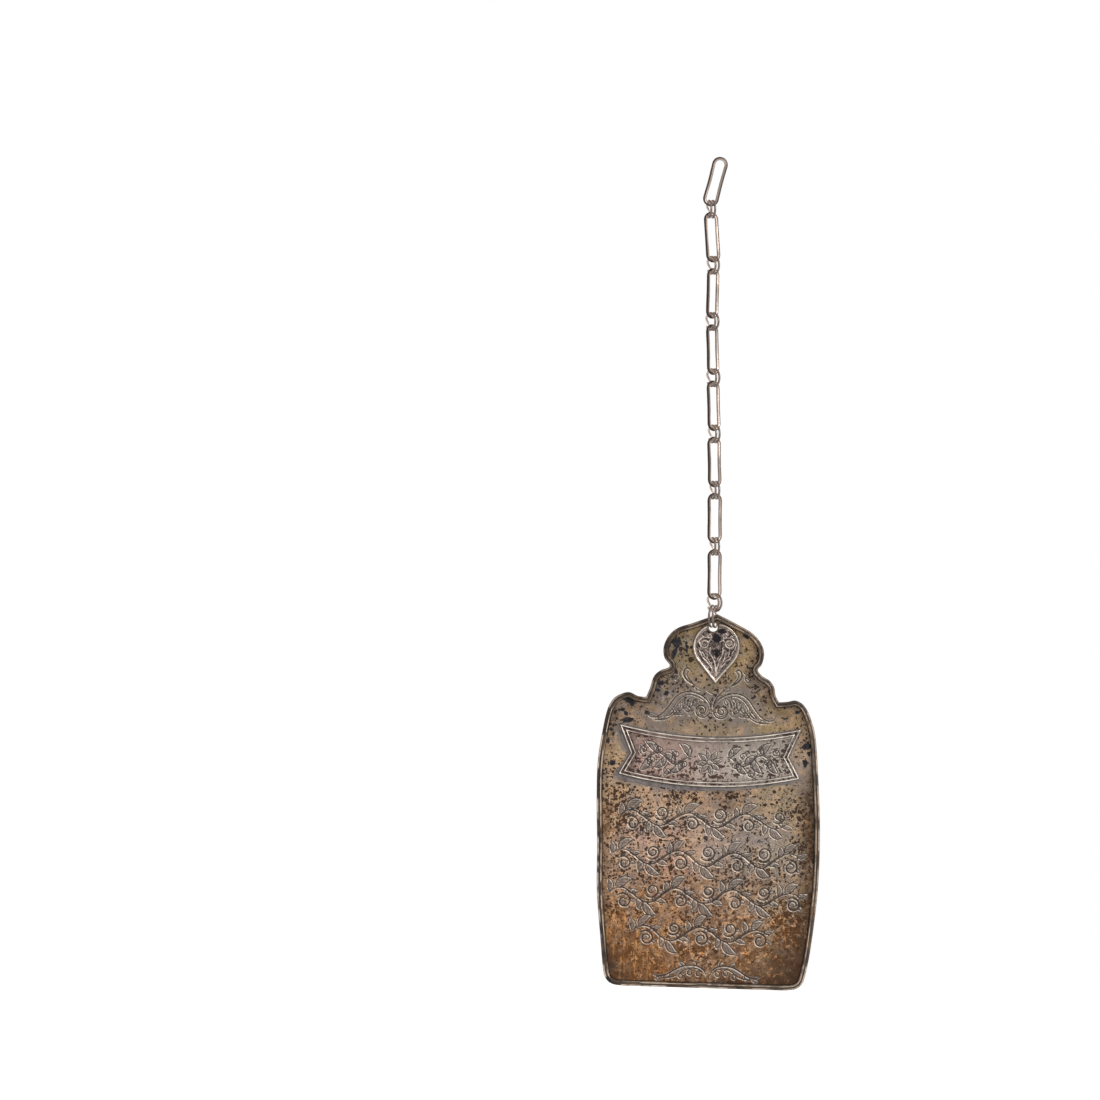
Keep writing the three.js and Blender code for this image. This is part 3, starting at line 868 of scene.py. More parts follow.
def gilt_material():
    """Worn gilding: pinkish tan to grey, pitted with brown, and brown itself towards the foot."""
    g = new_graph("worn_gilding")
    mottle, behind, lower = g.attribute("mottle"), g.attribute("behind"), g.attribute("lower")
    stain, near, runs = g.attribute("stain"), g.attribute("near"), g.attribute("runs")

    # The plain back
    g.colour = light(126, 115, 103)
    g.over((98, 82, 68), g.fit(g.noise(75, 4, 0.6), 0.42, 0.6))
    g.over((150, 131, 106), g.fit(g.noise(110, 5, 0.6), 0.48, 0.66, 0, 0.6))
    g.over((72, 59, 49), g.fit(g.noise(60, 6, 0.66), 0.52, 0.64, 0, 0.55))
    g.over((160, 146, 128), g.fit(g.noise(1400, 3, 0.6, 0, (1.0, 1.0, 0.05)), 0.5, 0.7, 0, 0.5))
    g.colour = g.mix(g.attribute("patina", "Color"), g.colour, behind)
    crowd = g.fit(g.noise(90, 3, 0.6), 0.54, 0.7, 0, 0.7)
    pitting = g.plus(g.attribute("pitting"), g.times(behind, crowd))

    # Grey bloom, bright wear, brown network, runs, painted shade along the rim and dark corners
    front = g.fit(behind, 0, 1, 1, 0.3)
    bloom = g.times(g.fit(g.noise(640, 4, 0.62), 0.47, 0.66, 0, 0.5), front)
    g.over((122, 112, 108), g.times(bloom, g.fit(mottle, 0.2, 0.9, 1.0, 0.25)))
    wear = g.times(g.fit(g.noise(1010, 4, 0.66), 0.53, 0.68, 0, 0.6), front)
    wear = g.times(wear, g.fit(g.noise(190, 2, 0.5), 0.42, 0.62, 0.1, 1.0))
    g.over((208, 180, 150), g.times(wear, g.fit(lower, 0, 1, 0.45, 1.0)))
    network = g.plus(g.noise(600, 6, 0.72, 0.6), g.times(g.noise(230, 2), 0.35))
    network = g.times(g.fit(network, 0.62, 0.69), mottle)
    g.over((84, 52, 23), network)
    high = g.times(g.fit(g.noise(830, 5, 0.7, 0.5), 0.54, 0.62), mottle)
    g.over((206, 154, 108), g.times(high, 0.75))
    grain = g.noise(3300, 3, 0.6)
    g.over((70, 50, 36), g.times(g.fit(grain, 0.5, 0.66, 0, 0.7), g.fit(lower, 0, 1, 0.6, 1.0)))
    pale = g.times(g.fit(g.noise(900, 3, 0.6, 0, (1.0, 1.0, 0.2)), 0.52, 0.62), runs)
    g.over((182, 130, 76), g.times(pale, 0.6))
    rust = g.times(g.fit(g.noise(620, 4, 0.7, 0.2, (1.0, 1.0, 0.35)), 0.5, 0.62), runs)
    g.over((96, 52, 20), g.times(rust, 0.6))
    patches = g.fit(g.noise(560, 5, 0.72), 0.36, 0.6, 1.1, 0.6)
    # Painted shade inside the rim, with brown dirt in the lower corners
    g.over((54, 37, 25), g.times(g.attribute("shade_and_dirt"), patches))

    # Pits
    place = g.jittered(2600, 0.0006)
    small = g.specks(1400, g.times(pitting, 0.95), place, 0.2, 0.54, 0.03)
    large = g.specks(760, g.times(pitting, 0.45), place, 0.18, 0.44, 0.03)
    dots = g.specks(2200, g.plus(g.times(pitting, 0.5), 0.1), place, 0.24, 0.5, 0.05)
    worms = g.plus(g.noise(1500, 2, 0.5, 0.4), g.times(pitting, 0.2))
    pits = g.most(g.most(small, large), g.times(dots, 0.85))
    pits = g.most(pits, g.fit(worms, 0.685, 0.715))
    deep = g.mix(light(34, 20, 12), light(70, 44, 20), g.times(mottle, 0.8))
    g.colour = g.mix(g.colour, deep, g.times(pits, 0.95))

    # Engraving, with the blue-black spots under its lines; its grooves get tarnish with painted shade,
    # and a painted highlight on their lips
    g.leaves(grain, (138, 128, 120), (98, 89, 84), 0.8, (62, 55, 52))
    blue = g.mix(light(24, 25, 30), light(44, 40, 39), g.fit(g.noise(1700, 3, 0.6), 0.5, 0.66))
    g.colour = g.mix(g.colour, blue, stain)
    g.grooves((46, 39, 36), (222, 211, 196), g.fit(lower, 0, 1, 0.74, 0.87))
    dull = g.plus(g.plus(pits, g.plus(stain, network)), near)
    scratch = g.noise(1500, 3, 0.6, 0, (1.0, 1.0, 0.12))
    g.bump(pits, 0.00006, 0.8)
    g.bump(g.plus(grain, scratch), 0.00005, 0.35)
    return g.metal(g.fit(dull, 0, 1.2, 0.62, 0.3), g.fit(dull, 0, 1.2, 0.38, 0.6))


def silver_material(name, base, bright, tarnish, warm, spots, clouds, bumps, least=0.3, detail=4):
    """Tarnished silver: bright along the piece's ridge, where it is worn and where a highlight is
    painted, and dark in its hollows, tarnish with painted shade.
    """
    g = new_graph(name)
    cloud = g.noise(620, detail, 0.65)
    fine = g.noise(2500, 3, 0.62)
    g.colour = light(*base)
    g.over(warm, g.fit(g.noise(300, 3, 0.6), 0.45, 0.66))
    g.over(tarnish, g.fit(cloud, 0.5, 0.68, 0, clouds))
    g.over(tarnish, g.fit(fine, 0.52, 0.66, 0, spots))
    patchy_shine = g.fit(g.noise(440, detail, 0.65), 0.34, 0.56, least, 1.0)
    g.over(bright, g.times(g.attribute("ridge"), patchy_shine))
    # Dark in the hollows: tarnish, and painted shade on the chain's wires and the rim's walls
    g.over((38, 33, 30), g.times(g.attribute("hollow"), 0.92))
    g.bump(g.plus(fine, g.noise(1100, 3, 0.6)), 0.00005, bumps)
    return g.metal(0.66, g.fit(g.plus(cloud, fine), 0.8, 1.3, 0.3, 0.52))


gilt = gilt_material()
rim_silver = silver_material(
    "rim_silver", (82, 70, 61), (202, 182, 162), (36, 29, 26), (122, 99, 76),
    spots=0.7, clouds=0.85, bumps=0.45)
mount_silver = silver_material(
    "mount_silver", (132, 121, 114), (222, 211, 197), (76, 64, 60), (150, 130, 120),
    spots=0.5, clouds=0.75, bumps=0.4)
chain_silver = silver_material(
    "chain_silver", (114, 100, 92), (228, 208, 194), (62, 53, 48), (132, 113, 101),
    spots=0.06, clouds=0.22, bumps=0.05, least=0.7, detail=1)
solder = silver_material(
    "grey_solder", (100, 94, 92), (128, 121, 118), (64, 58, 57), (112, 100, 92),
    spots=0.8, clouds=0.9, bumps=0.5)

# The shield's pieces, in its own frame: the crest's tip at zero, the face towards -Y

hinge = next(j for j in frame["joints"] if j["child"] == "shield")
shield_matrix = (
    Matrix.Translation(Vector(hinge["pos_m"]))
    @ Matrix.Rotation(math.radians(PLATE_LEAN), 4, "Y")
    @ Matrix.Translation((-HOLE_ACROSS * MM, 0, HOLE_DEPTH * MM))
)


def circle(x, z, radius, steps=48):
    """The points of a circle, anticlockwise."""
    angles = np.linspace(0, 2 * math.pi, steps, endpoint=False)
    return np.stack([x + radius * np.cos(angles), z + radius * np.sin(angles)], -1)


def tint(base, amount, colour):
    """Lays a colour over others by an amount from 0 to 1."""
    amount = amount[..., None]
    return base * (1 - amount) + amount * np.array(light(*colour))


def blend_of_places(places, x, z):
    """A smooth blend of the colours given at a few places, each (x, depth, reach, colour)."""
    total = np.zeros((*x.shape, 3))
    weight = np.zeros(x.shape)
    for px, depth, reach, colour in places:
        w = np.exp(-((x - px) ** 2 + (z + depth) ** 2) / reach**2) + 1e-9
        total += w[..., None] * np.array(light(*colour))
        weight += w
    return total / weight[..., None]


# The sheet's colours, each (x, depth, reach, colour)
PATINA = [
    (8, 9, 6, (166, 138, 94)), (-9, 9, 6, (148, 128, 92)), (13, 13, 5, (118, 103, 90)),
    (-5, 16, 4.5, (152, 130, 90)), (-14, 18, 5, (122, 114, 106)), (-5, 22, 6, (114, 108, 105)),
    (5, 17, 4, (154, 130, 90)), (5, 23, 6, (116, 110, 105)), (13, 20, 5, (132, 116, 98)),
    (17, 25, 5, (152, 130, 92)),
    (-22, 26, 5, (154, 128, 102)), (-15, 27, 5, (126, 110, 96)), (23, 28, 5, (146, 120, 92)),
    (0, 29, 6, (146, 126, 100)), (-27, 36, 6, (156, 132, 102)), (27, 38, 5, (142, 124, 106)),
    (-26, 48, 6, (178, 146, 112)), (-28, 62, 5, (180, 150, 118)), (-28, 73, 5, (172, 138, 108)),
    (-16, 50, 6, (168, 138, 112)), (-6, 50, 6, (158, 128, 102)),
    (6, 49, 6, (116, 94, 74)), (18, 49, 7, (140, 122, 98)), (-20, 58, 6, (188, 154, 132)),
    (-8, 58, 6, (160, 132, 114)), (3, 57, 6, (148, 128, 116)), (13, 58, 6, (142, 130, 120)),
    (22, 58, 5, (122, 108, 88)), (-10, 66, 6, (178, 136, 112)), (-21, 66, 6, (160, 134, 114)),
    (3, 66, 7, (150, 130, 116)), (14, 66, 6, (144, 134, 118)), (23, 66, 5, (142, 126, 104)),
    (-22, 76, 7, (152, 120, 96)), (-8, 76, 7, (156, 124, 98)), (6, 76, 7, (156, 130, 110)),
    (18, 75, 6, (148, 130, 106)), (-20, 84, 7, (166, 124, 84)), (-6, 86, 8, (158, 124, 98)),
    (8, 86, 7, (148, 122, 100)), (18, 85, 6, (140, 114, 86)), (-24, 94, 6, (118, 78, 44)),
    (-13, 94, 7, (146, 100, 56)), (3, 95, 7, (140, 112, 86)), (14, 93, 6, (124, 94, 66)),
    (25, 90, 6, (92, 70, 52)), (25, 80, 5, (118, 94, 70)),
]
# Blots over all of it, each (size, seed, share, low, high, colour)
BLOTS = [
    (3.4, 55, 0.45, 0.5, 0.72, (120, 112, 112)), (2.6, 57, 0.4, 0.54, 0.74, (188, 154, 120)),
    (2.0, 59, 0.4, 0.56, 0.76, (104, 84, 62)),
]
# Where small dark pits crowd, each (x, depth, reach, how many)
PIT_CROWDS = [
    (-7, 12, 6, 0.35), (11, 14, 6, 0.38), (-13, 19, 5, 0.6), (14, 20, 5, 0.4), (0, 24, 8, 0.4),
    (5, 17, 4, 0.4), (-24, 30, 5, 0.35), (24, 32, 6, 0.45), (-27, 44, 6, 0.7),
    (-24, 50, 8, 1.0), (-10, 48, 7, 0.85), (6, 47, 7, 0.6), (-19, 57, 7, 0.8),
    (-10, 58, 9, 0.7), (8, 58, 9, 0.5), (23, 52, 6, 0.7), (25, 64, 7, 0.85),
    (-20, 66, 8, 0.75), (8, 68, 8, 0.8), (-10, 72, 9, 0.7), (16, 73, 8, 0.75), (0, 84, 12, 0.6),
    (22, 80, 8, 0.8), (-22, 80, 8, 0.55),
]
# Blue-black spots, each (x, depth, half width, half height, turn in degrees)
SPOTS = [
    (-10.0, 8.0, 1.4, 1.6, 10), (-10.4, 10.6, 0.6, 1.5, -15), (-7.2, 9.4, 0.32, 1.5, 6),
    (-7.4, 8.0, 0.4, 0.6, 0), (-12.8, 15.9, 1.5, 0.65, 25), (-13.6, 18.9, 1.4, 0.55, 12),
    (-14.6, 20.8, 0.7, 0.5, 0), (-12.3, 21.5, 0.8, 0.45, 20), (-22.0, 23.7, 1.5, 0.95, -10),
    (-21.3, 24.6, 0.7, 0.8, 0), (-25.8, 26.8, 0.5, 0.8, -40), (-24.2, 26.2, 1.2, 0.4, 8),
    (-22.9, 27.2, 0.7, 0.5, -45), (-22.6, 28.9, 1.9, 0.7, 6), (-26.9, 31.6, 0.5, 0.35, 0),
    (-27.4, 34.6, 0.5, 0.8, 0), (-26.2, 40.6, 1.0, 0.7, 20), (-17.3, 26.9, 0.75, 0.75, 0),
    (-18.9, 25.4, 0.35, 0.35, 0), (25.6, 34.6, 1.3, 1.0, 0), (25.2, 39.0, 0.7, 1.2, 15),
    (26.2, 36.6, 0.5, 0.7, 20), (11.9, 20.4, 1.0, 0.28, 38), (11.2, 21.7, 0.4, 0.35, 0),
    (19.3, 27.3, 1.0, 0.22, -20), (11.6, 19.0, 0.3, 0.7, 10), (22.8, 25.6, 0.7, 0.5, 0),
    (15.6, 16.8, 0.8, 0.35, 50), (8.4, 5.8, 0.9, 0.4, -30), (16.6, 11.4, 0.5, 1.2, 8),
]
# Rows of vine, each (from, to, level, height, seed)
VINE_ROWS = [
    (-24.6, 21.6, -55.0, 8.4, 11), (-26.4, 25.6, -65.4, 8.6, 12),
    (-26.8, 26.0, -75.6, 8.6, 13), (-20.4, 17.4, -85.6, 8.2, 14),
]


def banner_shadow_and_solder(x, z):
    """Painted shadow of the banner on the sheet, with the grey that the soldering left round it, mostly
    below and at the left.
    """
    banner, bx, bz, inside = edge_distance([banner_outline()], x, z)
    # The painted shadow reaches furthest at the lower left, away from the light at the upper right
    low_left = np.clip(((bx - x) * 0.6 + (bz - z) * 0.8) / (banner + 0.01), 0, 1)
    reach = 0.4 + low_left * (0.9 + 1.3 * step_up(-x, -12, 18)) + 1.1 * ragged(x, z, 2.4, 93)
    shadow_and_solder = np.where(inside, 1.0, 1 - step_up(banner, reach * 0.5, reach * 1.2 + 0.15))
    return shadow_and_solder * (0.75 + 0.5 * ragged(x, z, 1.2, 95))


def sheet_patina(x, z, warp_x, warp_z, shadow_and_solder):
    """The sheet's colour: places blended, blots, a darker top and foot, the banner's painted shadow
    with solder grey, and painted shade round the drop.
    """
    patina = blend_of_places(PATINA, warp_x, warp_z)
    for size, seed, share, low, high, colour in BLOTS:
        patina = tint(patina, share * step_up(fractal(x, z, size, seed), low, high), colour)
    patina *= 0.97 - 0.25 * (1 - step_up(-warp_z, 24, 38))[..., None]
    patina *= 1 - 0.3 * step_up(-warp_z, 74, 96)[..., None]
    # Painted shadow of the banner, with the solder's grey
    patina = tint(patina, shadow_and_solder, (104, 100, 97))
    # Painted contact shade round the drop's edge, laid under the drop too
    drop, _, _, within = edge_distance([drop_outline(40, 6)], x, z)
    drop_contact_shade = np.where(within, 0.6, 0.6 * np.exp(-((drop / 0.55) ** 2)))
    return tint(patina, drop_contact_shade, (62, 50, 40))


def sheet_pits(x, z, warp_x, warp_z, shadow_and_solder):
    """How thickly small pits crowd, from 0 to 1."""
    pitting = np.zeros(x.shape)
    for px, depth, width, amount in PIT_CROWDS:
        crowd = np.exp(-((warp_x - px) ** 2 + (warp_z + depth) ** 2) / width**2)
        pitting = np.maximum(pitting, amount * crowd)
    return (pitting * (0.35 + 1.25 * fractal(x, z, 3.2, 61))).clip(0, 1) * (1 - 0.7 * shadow_and_solder)


def sheet_stain(x, z):
    """The blue-black spots, with crumbs of the same round them."""
    stain = np.zeros(x.shape)
    close = np.zeros(x.shape)
    for px, depth, wide, tall, turn in SPOTS:
        c, s = math.cos(math.radians(turn)), math.sin(math.radians(turn))
        u, v = (x - px) * c + (z + depth) * s, -(x - px) * s + (z + depth) * c
        reach = np.hypot(u / wide, v / tall)
        reach = reach + 0.7 * ragged(x, z, 1.3, 81) + 0.8 * ragged(x, z, 0.55, 83)
        stain = np.maximum(stain, 1 - step_up(reach, 0.85, 1.05))
        close = np.maximum(close, np.exp(-((np.hypot(u, v) / (wide + tall + 0.6)) ** 2)))
    crumbs = step_up(fractal(x, z, 0.62, 85, 2) + 0.16 * close, 0.84, 0.9) * step_up(close, 0.2, 0.5)
    return np.maximum(stain, 0.9 * crumbs) * (0.8 + 0.5 * fractal(x, z, 0.8, 87)).clip(0, 1)


def sheet_shade_and_dirt(x, z, outline):
    """Painted shade along the inside of the rim, mostly at the right, where the rim's shadow falls, and
    brown dirt in the lower corners.
    """
    distance, _, _, _ = edge_distance([outline[::3]], x, z)
    right = step_up(x, -6, 20) * step_up(-z, 36, 46)
    # Painted shade inside the rim, widest at the right, where the rim's shadow falls
    shade = 1 - step_up(distance + 1.8 * ragged(x, z, 3.4, 51), 1.9, 4.6 + 2.4 * right)
    shade = shade * (0.4 + 0.6 * right)
    corner = np.hypot(np.abs(x) - 31, (z + 102) * 0.8)
    corner = corner + 3 * ragged(x, z, 3, 53) - 2 * step_up(x, 0, 20)
    corner = 1 - step_up(corner, 5, 16 + 3 * step_up(x, 0, 20))
    shade_and_dirt = np.maximum(0.85 * shade, corner) * (0.8 + 0.5 * fractal(x, z, 1.6, 65))
    return shade_and_dirt.clip(0, 1)


def plate_fields(field, outline):
    """Engraving, patina and pits of the sheet, as fields over the grid."""
    engrave_crest(field)
    for row in VINE_ROWS:
        engrave_vine(field, *row)
    engrave_foot(field)
    x, z = field.x, field.z
    warp_x = x + 7 * ragged(x, z, 7, 31) + 3 * ragged(x, z, 2.2, 33)
    warp_z = z + 7 * ragged(x, z, 7, 41) + 3 * ragged(x, z, 2.2, 43)
    shadow_and_solder = banner_shadow_and_solder(x, z)
    stain = sheet_stain(x, z)
    mottle = step_up(-warp_z, 60, 86) * (0.3 + 0.95 * fractal(x, z, 5, 71))
    mottle = np.maximum(mottle, 0.8 * step_up(np.abs(warp_x), 20, 30) * step_up(-warp_z, 44, 56))
    heights = PLATE_FRONT + 0.07 * ragged(x, z, 14, 21) + field.relief(0.16, 0.035, 0.03)
    values = {
        **field.marks(), "patina": sheet_patina(x, z, warp_x, warp_z, shadow_and_solder),
        "pitting": sheet_pits(x, z, warp_x, warp_z, shadow_and_solder), "mottle": mottle, "stain": stain,
        "runs": step_up(-x + 5 * ragged(x, z, 5, 73), 2, 14) * step_up(-z, 70, 88),
        "shade_and_dirt": sheet_shade_and_dirt(x, z, outline), "lower": step_up(-warp_z, 40, 50),
    }
    return heights - 0.03 * stain, values


def make_plate():
    """The engraved sheet, with its finer cells where there is engraving or a spot's edge."""
    outline = plate_outline()
    hole = circle(HOLE_ACROSS, -HOLE_DEPTH, HOLE_RADIUS)[::-1]
    field = Field((-31, -101), (31, 1), PLATE_GRID)
    heights, values = plate_fields(field, outline)
    edges = (values["stain"] > 0.03) & (values["stain"] < 0.97)
    fine = (field.ratio < 2.4) | (field.leaf > 0) | edges
    values["behind"] = np.zeros(field.shape)
    back = {"patina": light(112, 101, 90), "behind": 1.0}
    mesh = relief_solid("shield_sheet", field, [outline, hole], PLATE_FRONT, -PLATE_FRONT,
                        heights, values, fine, back)
    add_piece(mesh, gilt, ["shield_plate"])


# The rim's section, each (inset, height, how far it is a bright ridge, worn shine with a painted
# highlight, how far a dark hollow, tarnish with painted shade on its walls)
RIM_SECTION = [
    (0.0, -0.02, 0, 0.4), (1.6, -0.02, 0, 1), (1.55, 0.12, 0, 1), (1.49, 0.34, 0, 0.85),
    (1.42, 0.64, 0.1, 0.55), (1.34, 0.86, 0.5, 0.1), (1.26, 0.94, 0.45, 0.1),
    (1.17, 0.93, 0, 0.9), (0.92, 0.93, 0, 0.9), (0.84, 0.93, 0.2, 0.5), (0.72, 0.84, 0.1, 0.5),
    (0.58, 0.68, 0, 0.85), (0.5, 0.58, 0, 1), (0.43, 0.56, 0.4, 0.3), (0.34, 0.58, 0.9, 0),
    (0.22, 0.57, 0.9, 0), (0.1, 0.49, 0.5, 0), (0.02, 0.36, 0.1, 0.3), (0.0, 0.22, 0, 0.6),
    (0.0, 0.08, 0, 0.7),
]


def patchy(rail, seed, size):
    """Where the bright line along a rail is broken by dark: mostly on the left."""
    run = fractal(rail[:, 0], rail[:, 1], size, seed, 2)
    left = step_up(-rail[:, 0], -8, 16)
    kept = step_up(run, 0.36 + 0.09 * left, 0.46 + 0.09 * left)
    kept = kept * (0.8 + 0.2 * left) + (1 - kept) * (0.2 - 0.2 * left)
    return kept * (0.5 + 0.5 * step_up(-rail[:, 1], 18, 32))


def make_rim():
    """The sloping border round the sheet and the bright wire on its crest."""
    outline = plate_outline()
    rail = refined(outline, RIM_CUTS)
    section = [(a, h) for a, h, _, _ in RIM_SECTION]
    mesh = build_mesh("rim_border", *loft(moulding(outline, section, PLATE_FRONT, RIM_CUTS, 0.06)))
    marks = np.array([(r, h) for _, _, r, h in RIM_SECTION])
    kept = patchy(rail, 63, 4.0)[:, None]
    hollow = np.maximum(marks[:, 1], 0.85 * marks[:, 0] * (1 - kept))
    set_values(mesh, ridge=(marks[:, 0] * kept).ravel(), hollow=hollow.ravel())
    add_piece(mesh, rim_silver, ["rim_moulding"])

    # The wire stands on the border's flat crest
    wire = bead_section(0.92, 0.26, RIM_WIRE_HEIGHT)
    rows = moulding(outline, wire, PLATE_FRONT + RIM_HEIGHT, RIM_CUTS, 0.25, 9)
    mesh = build_mesh("rim_bright_wire", *loft(rows))
    tops = np.array([max(h, 0) / RIM_WIRE_HEIGHT for _, h in wire]) ** 1.5
    kept = patchy(rail, 67, 5.0)[:, None]
    hollow = np.maximum(0.75 * (1 - tops), 0.6 * (1 - kept))
    set_values(mesh, ridge=(tops * (0.2 + 0.8 * kept)).ravel(), hollow=hollow.ravel())
    add_piece(mesh, rim_silver, ["rim_wire"])


def wire_piece(name, outline, section, base, times, replaced, wobble=0.15, run=None, patchy_shine=0.35):
    """A bead round an outline, or along one open run of its points.

    Each span is cut a few times; the wobble is its unevenness, and the last argument says how patchy
    its shine is.
    """
    rows = moulding(outline, section, base, times, wobble, len(name))
    rail = rows[:, 0, [0, 2]] / MM
    kept = step_up(fractal(rail[:, 0], rail[:, 1], 2.6, 2 * len(name)), 0.38, 0.58)
    kept = (1 - patchy_shine + patchy_shine * kept) * (0.6 + 0.4 * step_up(-rail[:, 1], 5, 12))
    kept = kept[:, None]
    if run is None:
        points, faces = loft(rows)
    else:
        rows, kept = rows[run], kept[run]
        points, faces = capped(*loft(rows, False), len(section))
    mesh = build_mesh(name, points, faces)
    top = max(h for _, h in section)
    tops = np.array([max(h, 0) / top for _, h in section]) ** 1.2
    ridge, hollow = np.zeros(len(points)), np.full(len(points), 0.5)
    ridge[: tops.size * len(rows)] = (tops * kept).ravel()
    hollow[: tops.size * len(rows)] = (0.6 * (1 - tops) + 0.3 * (1 - kept)).ravel()
    set_values(mesh, ridge=ridge, hollow=hollow)
    add_piece(mesh, mount_silver, replaced)


def banner_middle(across):
    """How high the banner's middle line lies at a place across."""
    share = (across - BANNER_ACROSS) / BANNER_HALF_LENGTH
    return -BANNER_DEPTH - BANNER_HEIGHT / 2 - BANNER_SAG * (1 - share**2)


def engrave_banner(field):
    """A rosette between two sprays of leaves, in the place of the lettering."""
    rosette = (BANNER_ACROSS, banner_middle(BANNER_ACROSS))
    for n in range(8):
        angle = n * math.pi / 4 + 0.2
        base = (rosette[0] + 0.8 * math.cos(angle), rosette[1] + 0.8 * math.sin(angle))
        engrave_leaf(field, base, angle, 2.7, 1.35, 0.3, 0.3)
    field.groove(circle(*rosette, 0.62, 20), 0.32)
    random = np.random.default_rng(29)
    for side in (1, -1):
        xs = rosette[0] + side * np.linspace(4.4, 18.2, 90)
        wave = 1.25 * np.sin((xs - rosette[0]) * side * 0.72 - 1.9)
        stem = np.stack([xs, banner_middle(xs) + wave], -1)
        field.groove(stem, 0.44)
        field.groove(stem[4:-4] + [0, 0.5], 0.24)
        for n, at in enumerate(stem[6::14]):
            up = 1 if n % 2 == 0 else -1
            loose = random.uniform(-1, 1, 4)
            outward = 0.0 if side > 0 else math.pi
            tilt = up * side * (0.8 + 0.15 * loose[0])
            engrave_leaf(field, at, outward + tilt, 4.3 + 0.4 * loose[1], 1.75,
                         -up * side * 1.2, 0.36)
            engrave_leaf(field, at, outward + tilt * 2.1, 2.6, 1.1, up * side * 0.8, 0.3)
            hub = (at[0] + side * 1.4, at[1] - up * (1.9 + 0.2 * loose[2]))
            field.groove(spiral(hub, 1.35, 0.35, 1.6 * up, -up * side * 1.3), 0.34)
            engrave_leaf(field, hub, outward - tilt, 1.9, 0.9, up * side * 0.6, 0.26)


def make_banner():
    """The engraved banner with its two wires and the solder round it."""
    outline = banner_outline()
    field = Field((-26, -47), (26, -28), BANNER_GRID)
    x, z = field.x, field.z
    engrave_banner(field)
    front = PLATE_FRONT + BANNER_THICKNESS
    edge, _, _, _ = edge_distance([outline], x, z)
    # A low dark line between the two wires and a finer one inside the inner wire
    channel = np.exp(-(((edge - 0.66) / 0.2) ** 2)) + np.exp(-(((edge - 1.42) / 0.12) ** 2))
    heights = front + 0.06 * ragged(x, z, 8, 17) - 0.02 - 0.06 * channel
    heights += field.relief(0.12, 0.03, 0.025)
    rosy = step_up(6 - x + 9 * ragged(x, z, 5, 27), -6, 20) * (0.45 + 0.8 * fractal(x, z, 2.6, 47))
    patina = tint(np.array(light(148, 139, 129)), rosy.clip(0, 1), (148, 121, 110))
    patina *= 0.86 + 0.26 * step_up(-(z + 37), -4, 5)[..., None]
    ends = step_up(np.abs(x - BANNER_ACROSS), 12, 22)
    shade = 1 - step_up(edge + 1.2 * ragged(x, z, 2, 57), 1.3, 3.4)
    shade = shade * (0.25 + 0.65 * ends * step_up(-x, -4, 14))
    streaks = 0.46 + 0.9 * ends + 0.75 * step_up(-(z + 37), -1, 3) * (1 - ends)
    values = field.marks()
    values["patina"] = tint(patina, shade, (74, 58, 55))
    values["streaks"] = (streaks * (0.1 + 1.5 * fractal(x, z, 3, 37))).clip(0, 1)
    values["cut"] = np.maximum(values["cut"], 0.34 * channel.clip(0, 1))
    mesh = relief_solid("banner_field", field, [outline], front, PLATE_FRONT, heights, values,
                        elsewhere=dict.fromkeys(values, 0.3))
    add_piece(mesh, banner_material(), ["banner_plaque"])
    make_solder(outline)
    for name, bead, wire in (("banner_edge_line", (0.02, 0.36, 0.36), "banner_outer_wire"),
                             ("banner_inner_line", (0.96, 0.3, 0.26), "banner_inner_wire")):
        wire_piece(name, outline, bead_section(*bead), front, BANNER_CUTS, [wire])


def banner_material():
    """Greyer silver with rows of dark dashes, engraved like the sheet."""
    g = new_graph("banner_silver")
    streaks, near = g.attribute("streaks"), g.attribute("near")
    cloud = g.noise(620, 4, 0.65)
    grain = g.noise(3000, 3, 0.6)
    g.colour = g.attribute("patina", "Color")
    g.over((178, 166, 156), g.fit(cloud, 0.5, 0.7, 0, 0.5))
    g.over((104, 94, 92), g.fit(g.noise(900, 4, 0.65), 0.5, 0.68, 0, 0.5))
    g.over((74, 57, 53), g.fit(grain, 0.5, 0.68, 0, 0.55))
    place = g.jittered(1900, 0.0004, (0.42, 1.0, 1.0))
    small = g.specks(1300, g.times(streaks, 0.9), place, 0.2, 0.5, 0.04)
    large = g.specks(700, g.times(streaks, 0.55), place, 0.16, 0.4, 0.04)
    blotch = g.plus(g.noise(1250, 3, 0.6, 0.3), g.times(streaks, 0.155))
    dark = g.most(g.most(small, large), g.fit(blotch, 0.66, 0.72))
    g.over((46, 30, 26), g.times(dark, 0.92))
    g.leaves(grain, (126, 119, 113), (98, 92, 88), 0.85, (64, 56, 54))
    # Tarnish with painted shade in the grooves, and a painted highlight on their lips
    g.grooves((50, 42, 40), (226, 216, 203), 0.85)
    g.bump(dark, 0.00005, 0.7)
    g.bump(g.plus(cloud, grain), 0.00005, 0.35)
    return g.metal(g.fit(near, 0, 1, 0.64, 0.34), g.fit(g.plus(dark, near), 0, 1.2, 0.36, 0.58))


# The solder's section, each (share of its width, height, how far a ridge, how far a hollow)
SOLDER_SECTION = [
    (-0.3, -0.03, 0, 0.4), (1.0, -0.03, 0, 0.4), (0.93, 0.03, 0.1, 0.1), (0.72, 0.08, 0.2, 0),
    (0.4, 0.14, 0.2, 0.1), (0.1, 0.2, 0.1, 0.5), (-0.3, 0.24, 0, 0.8),
]


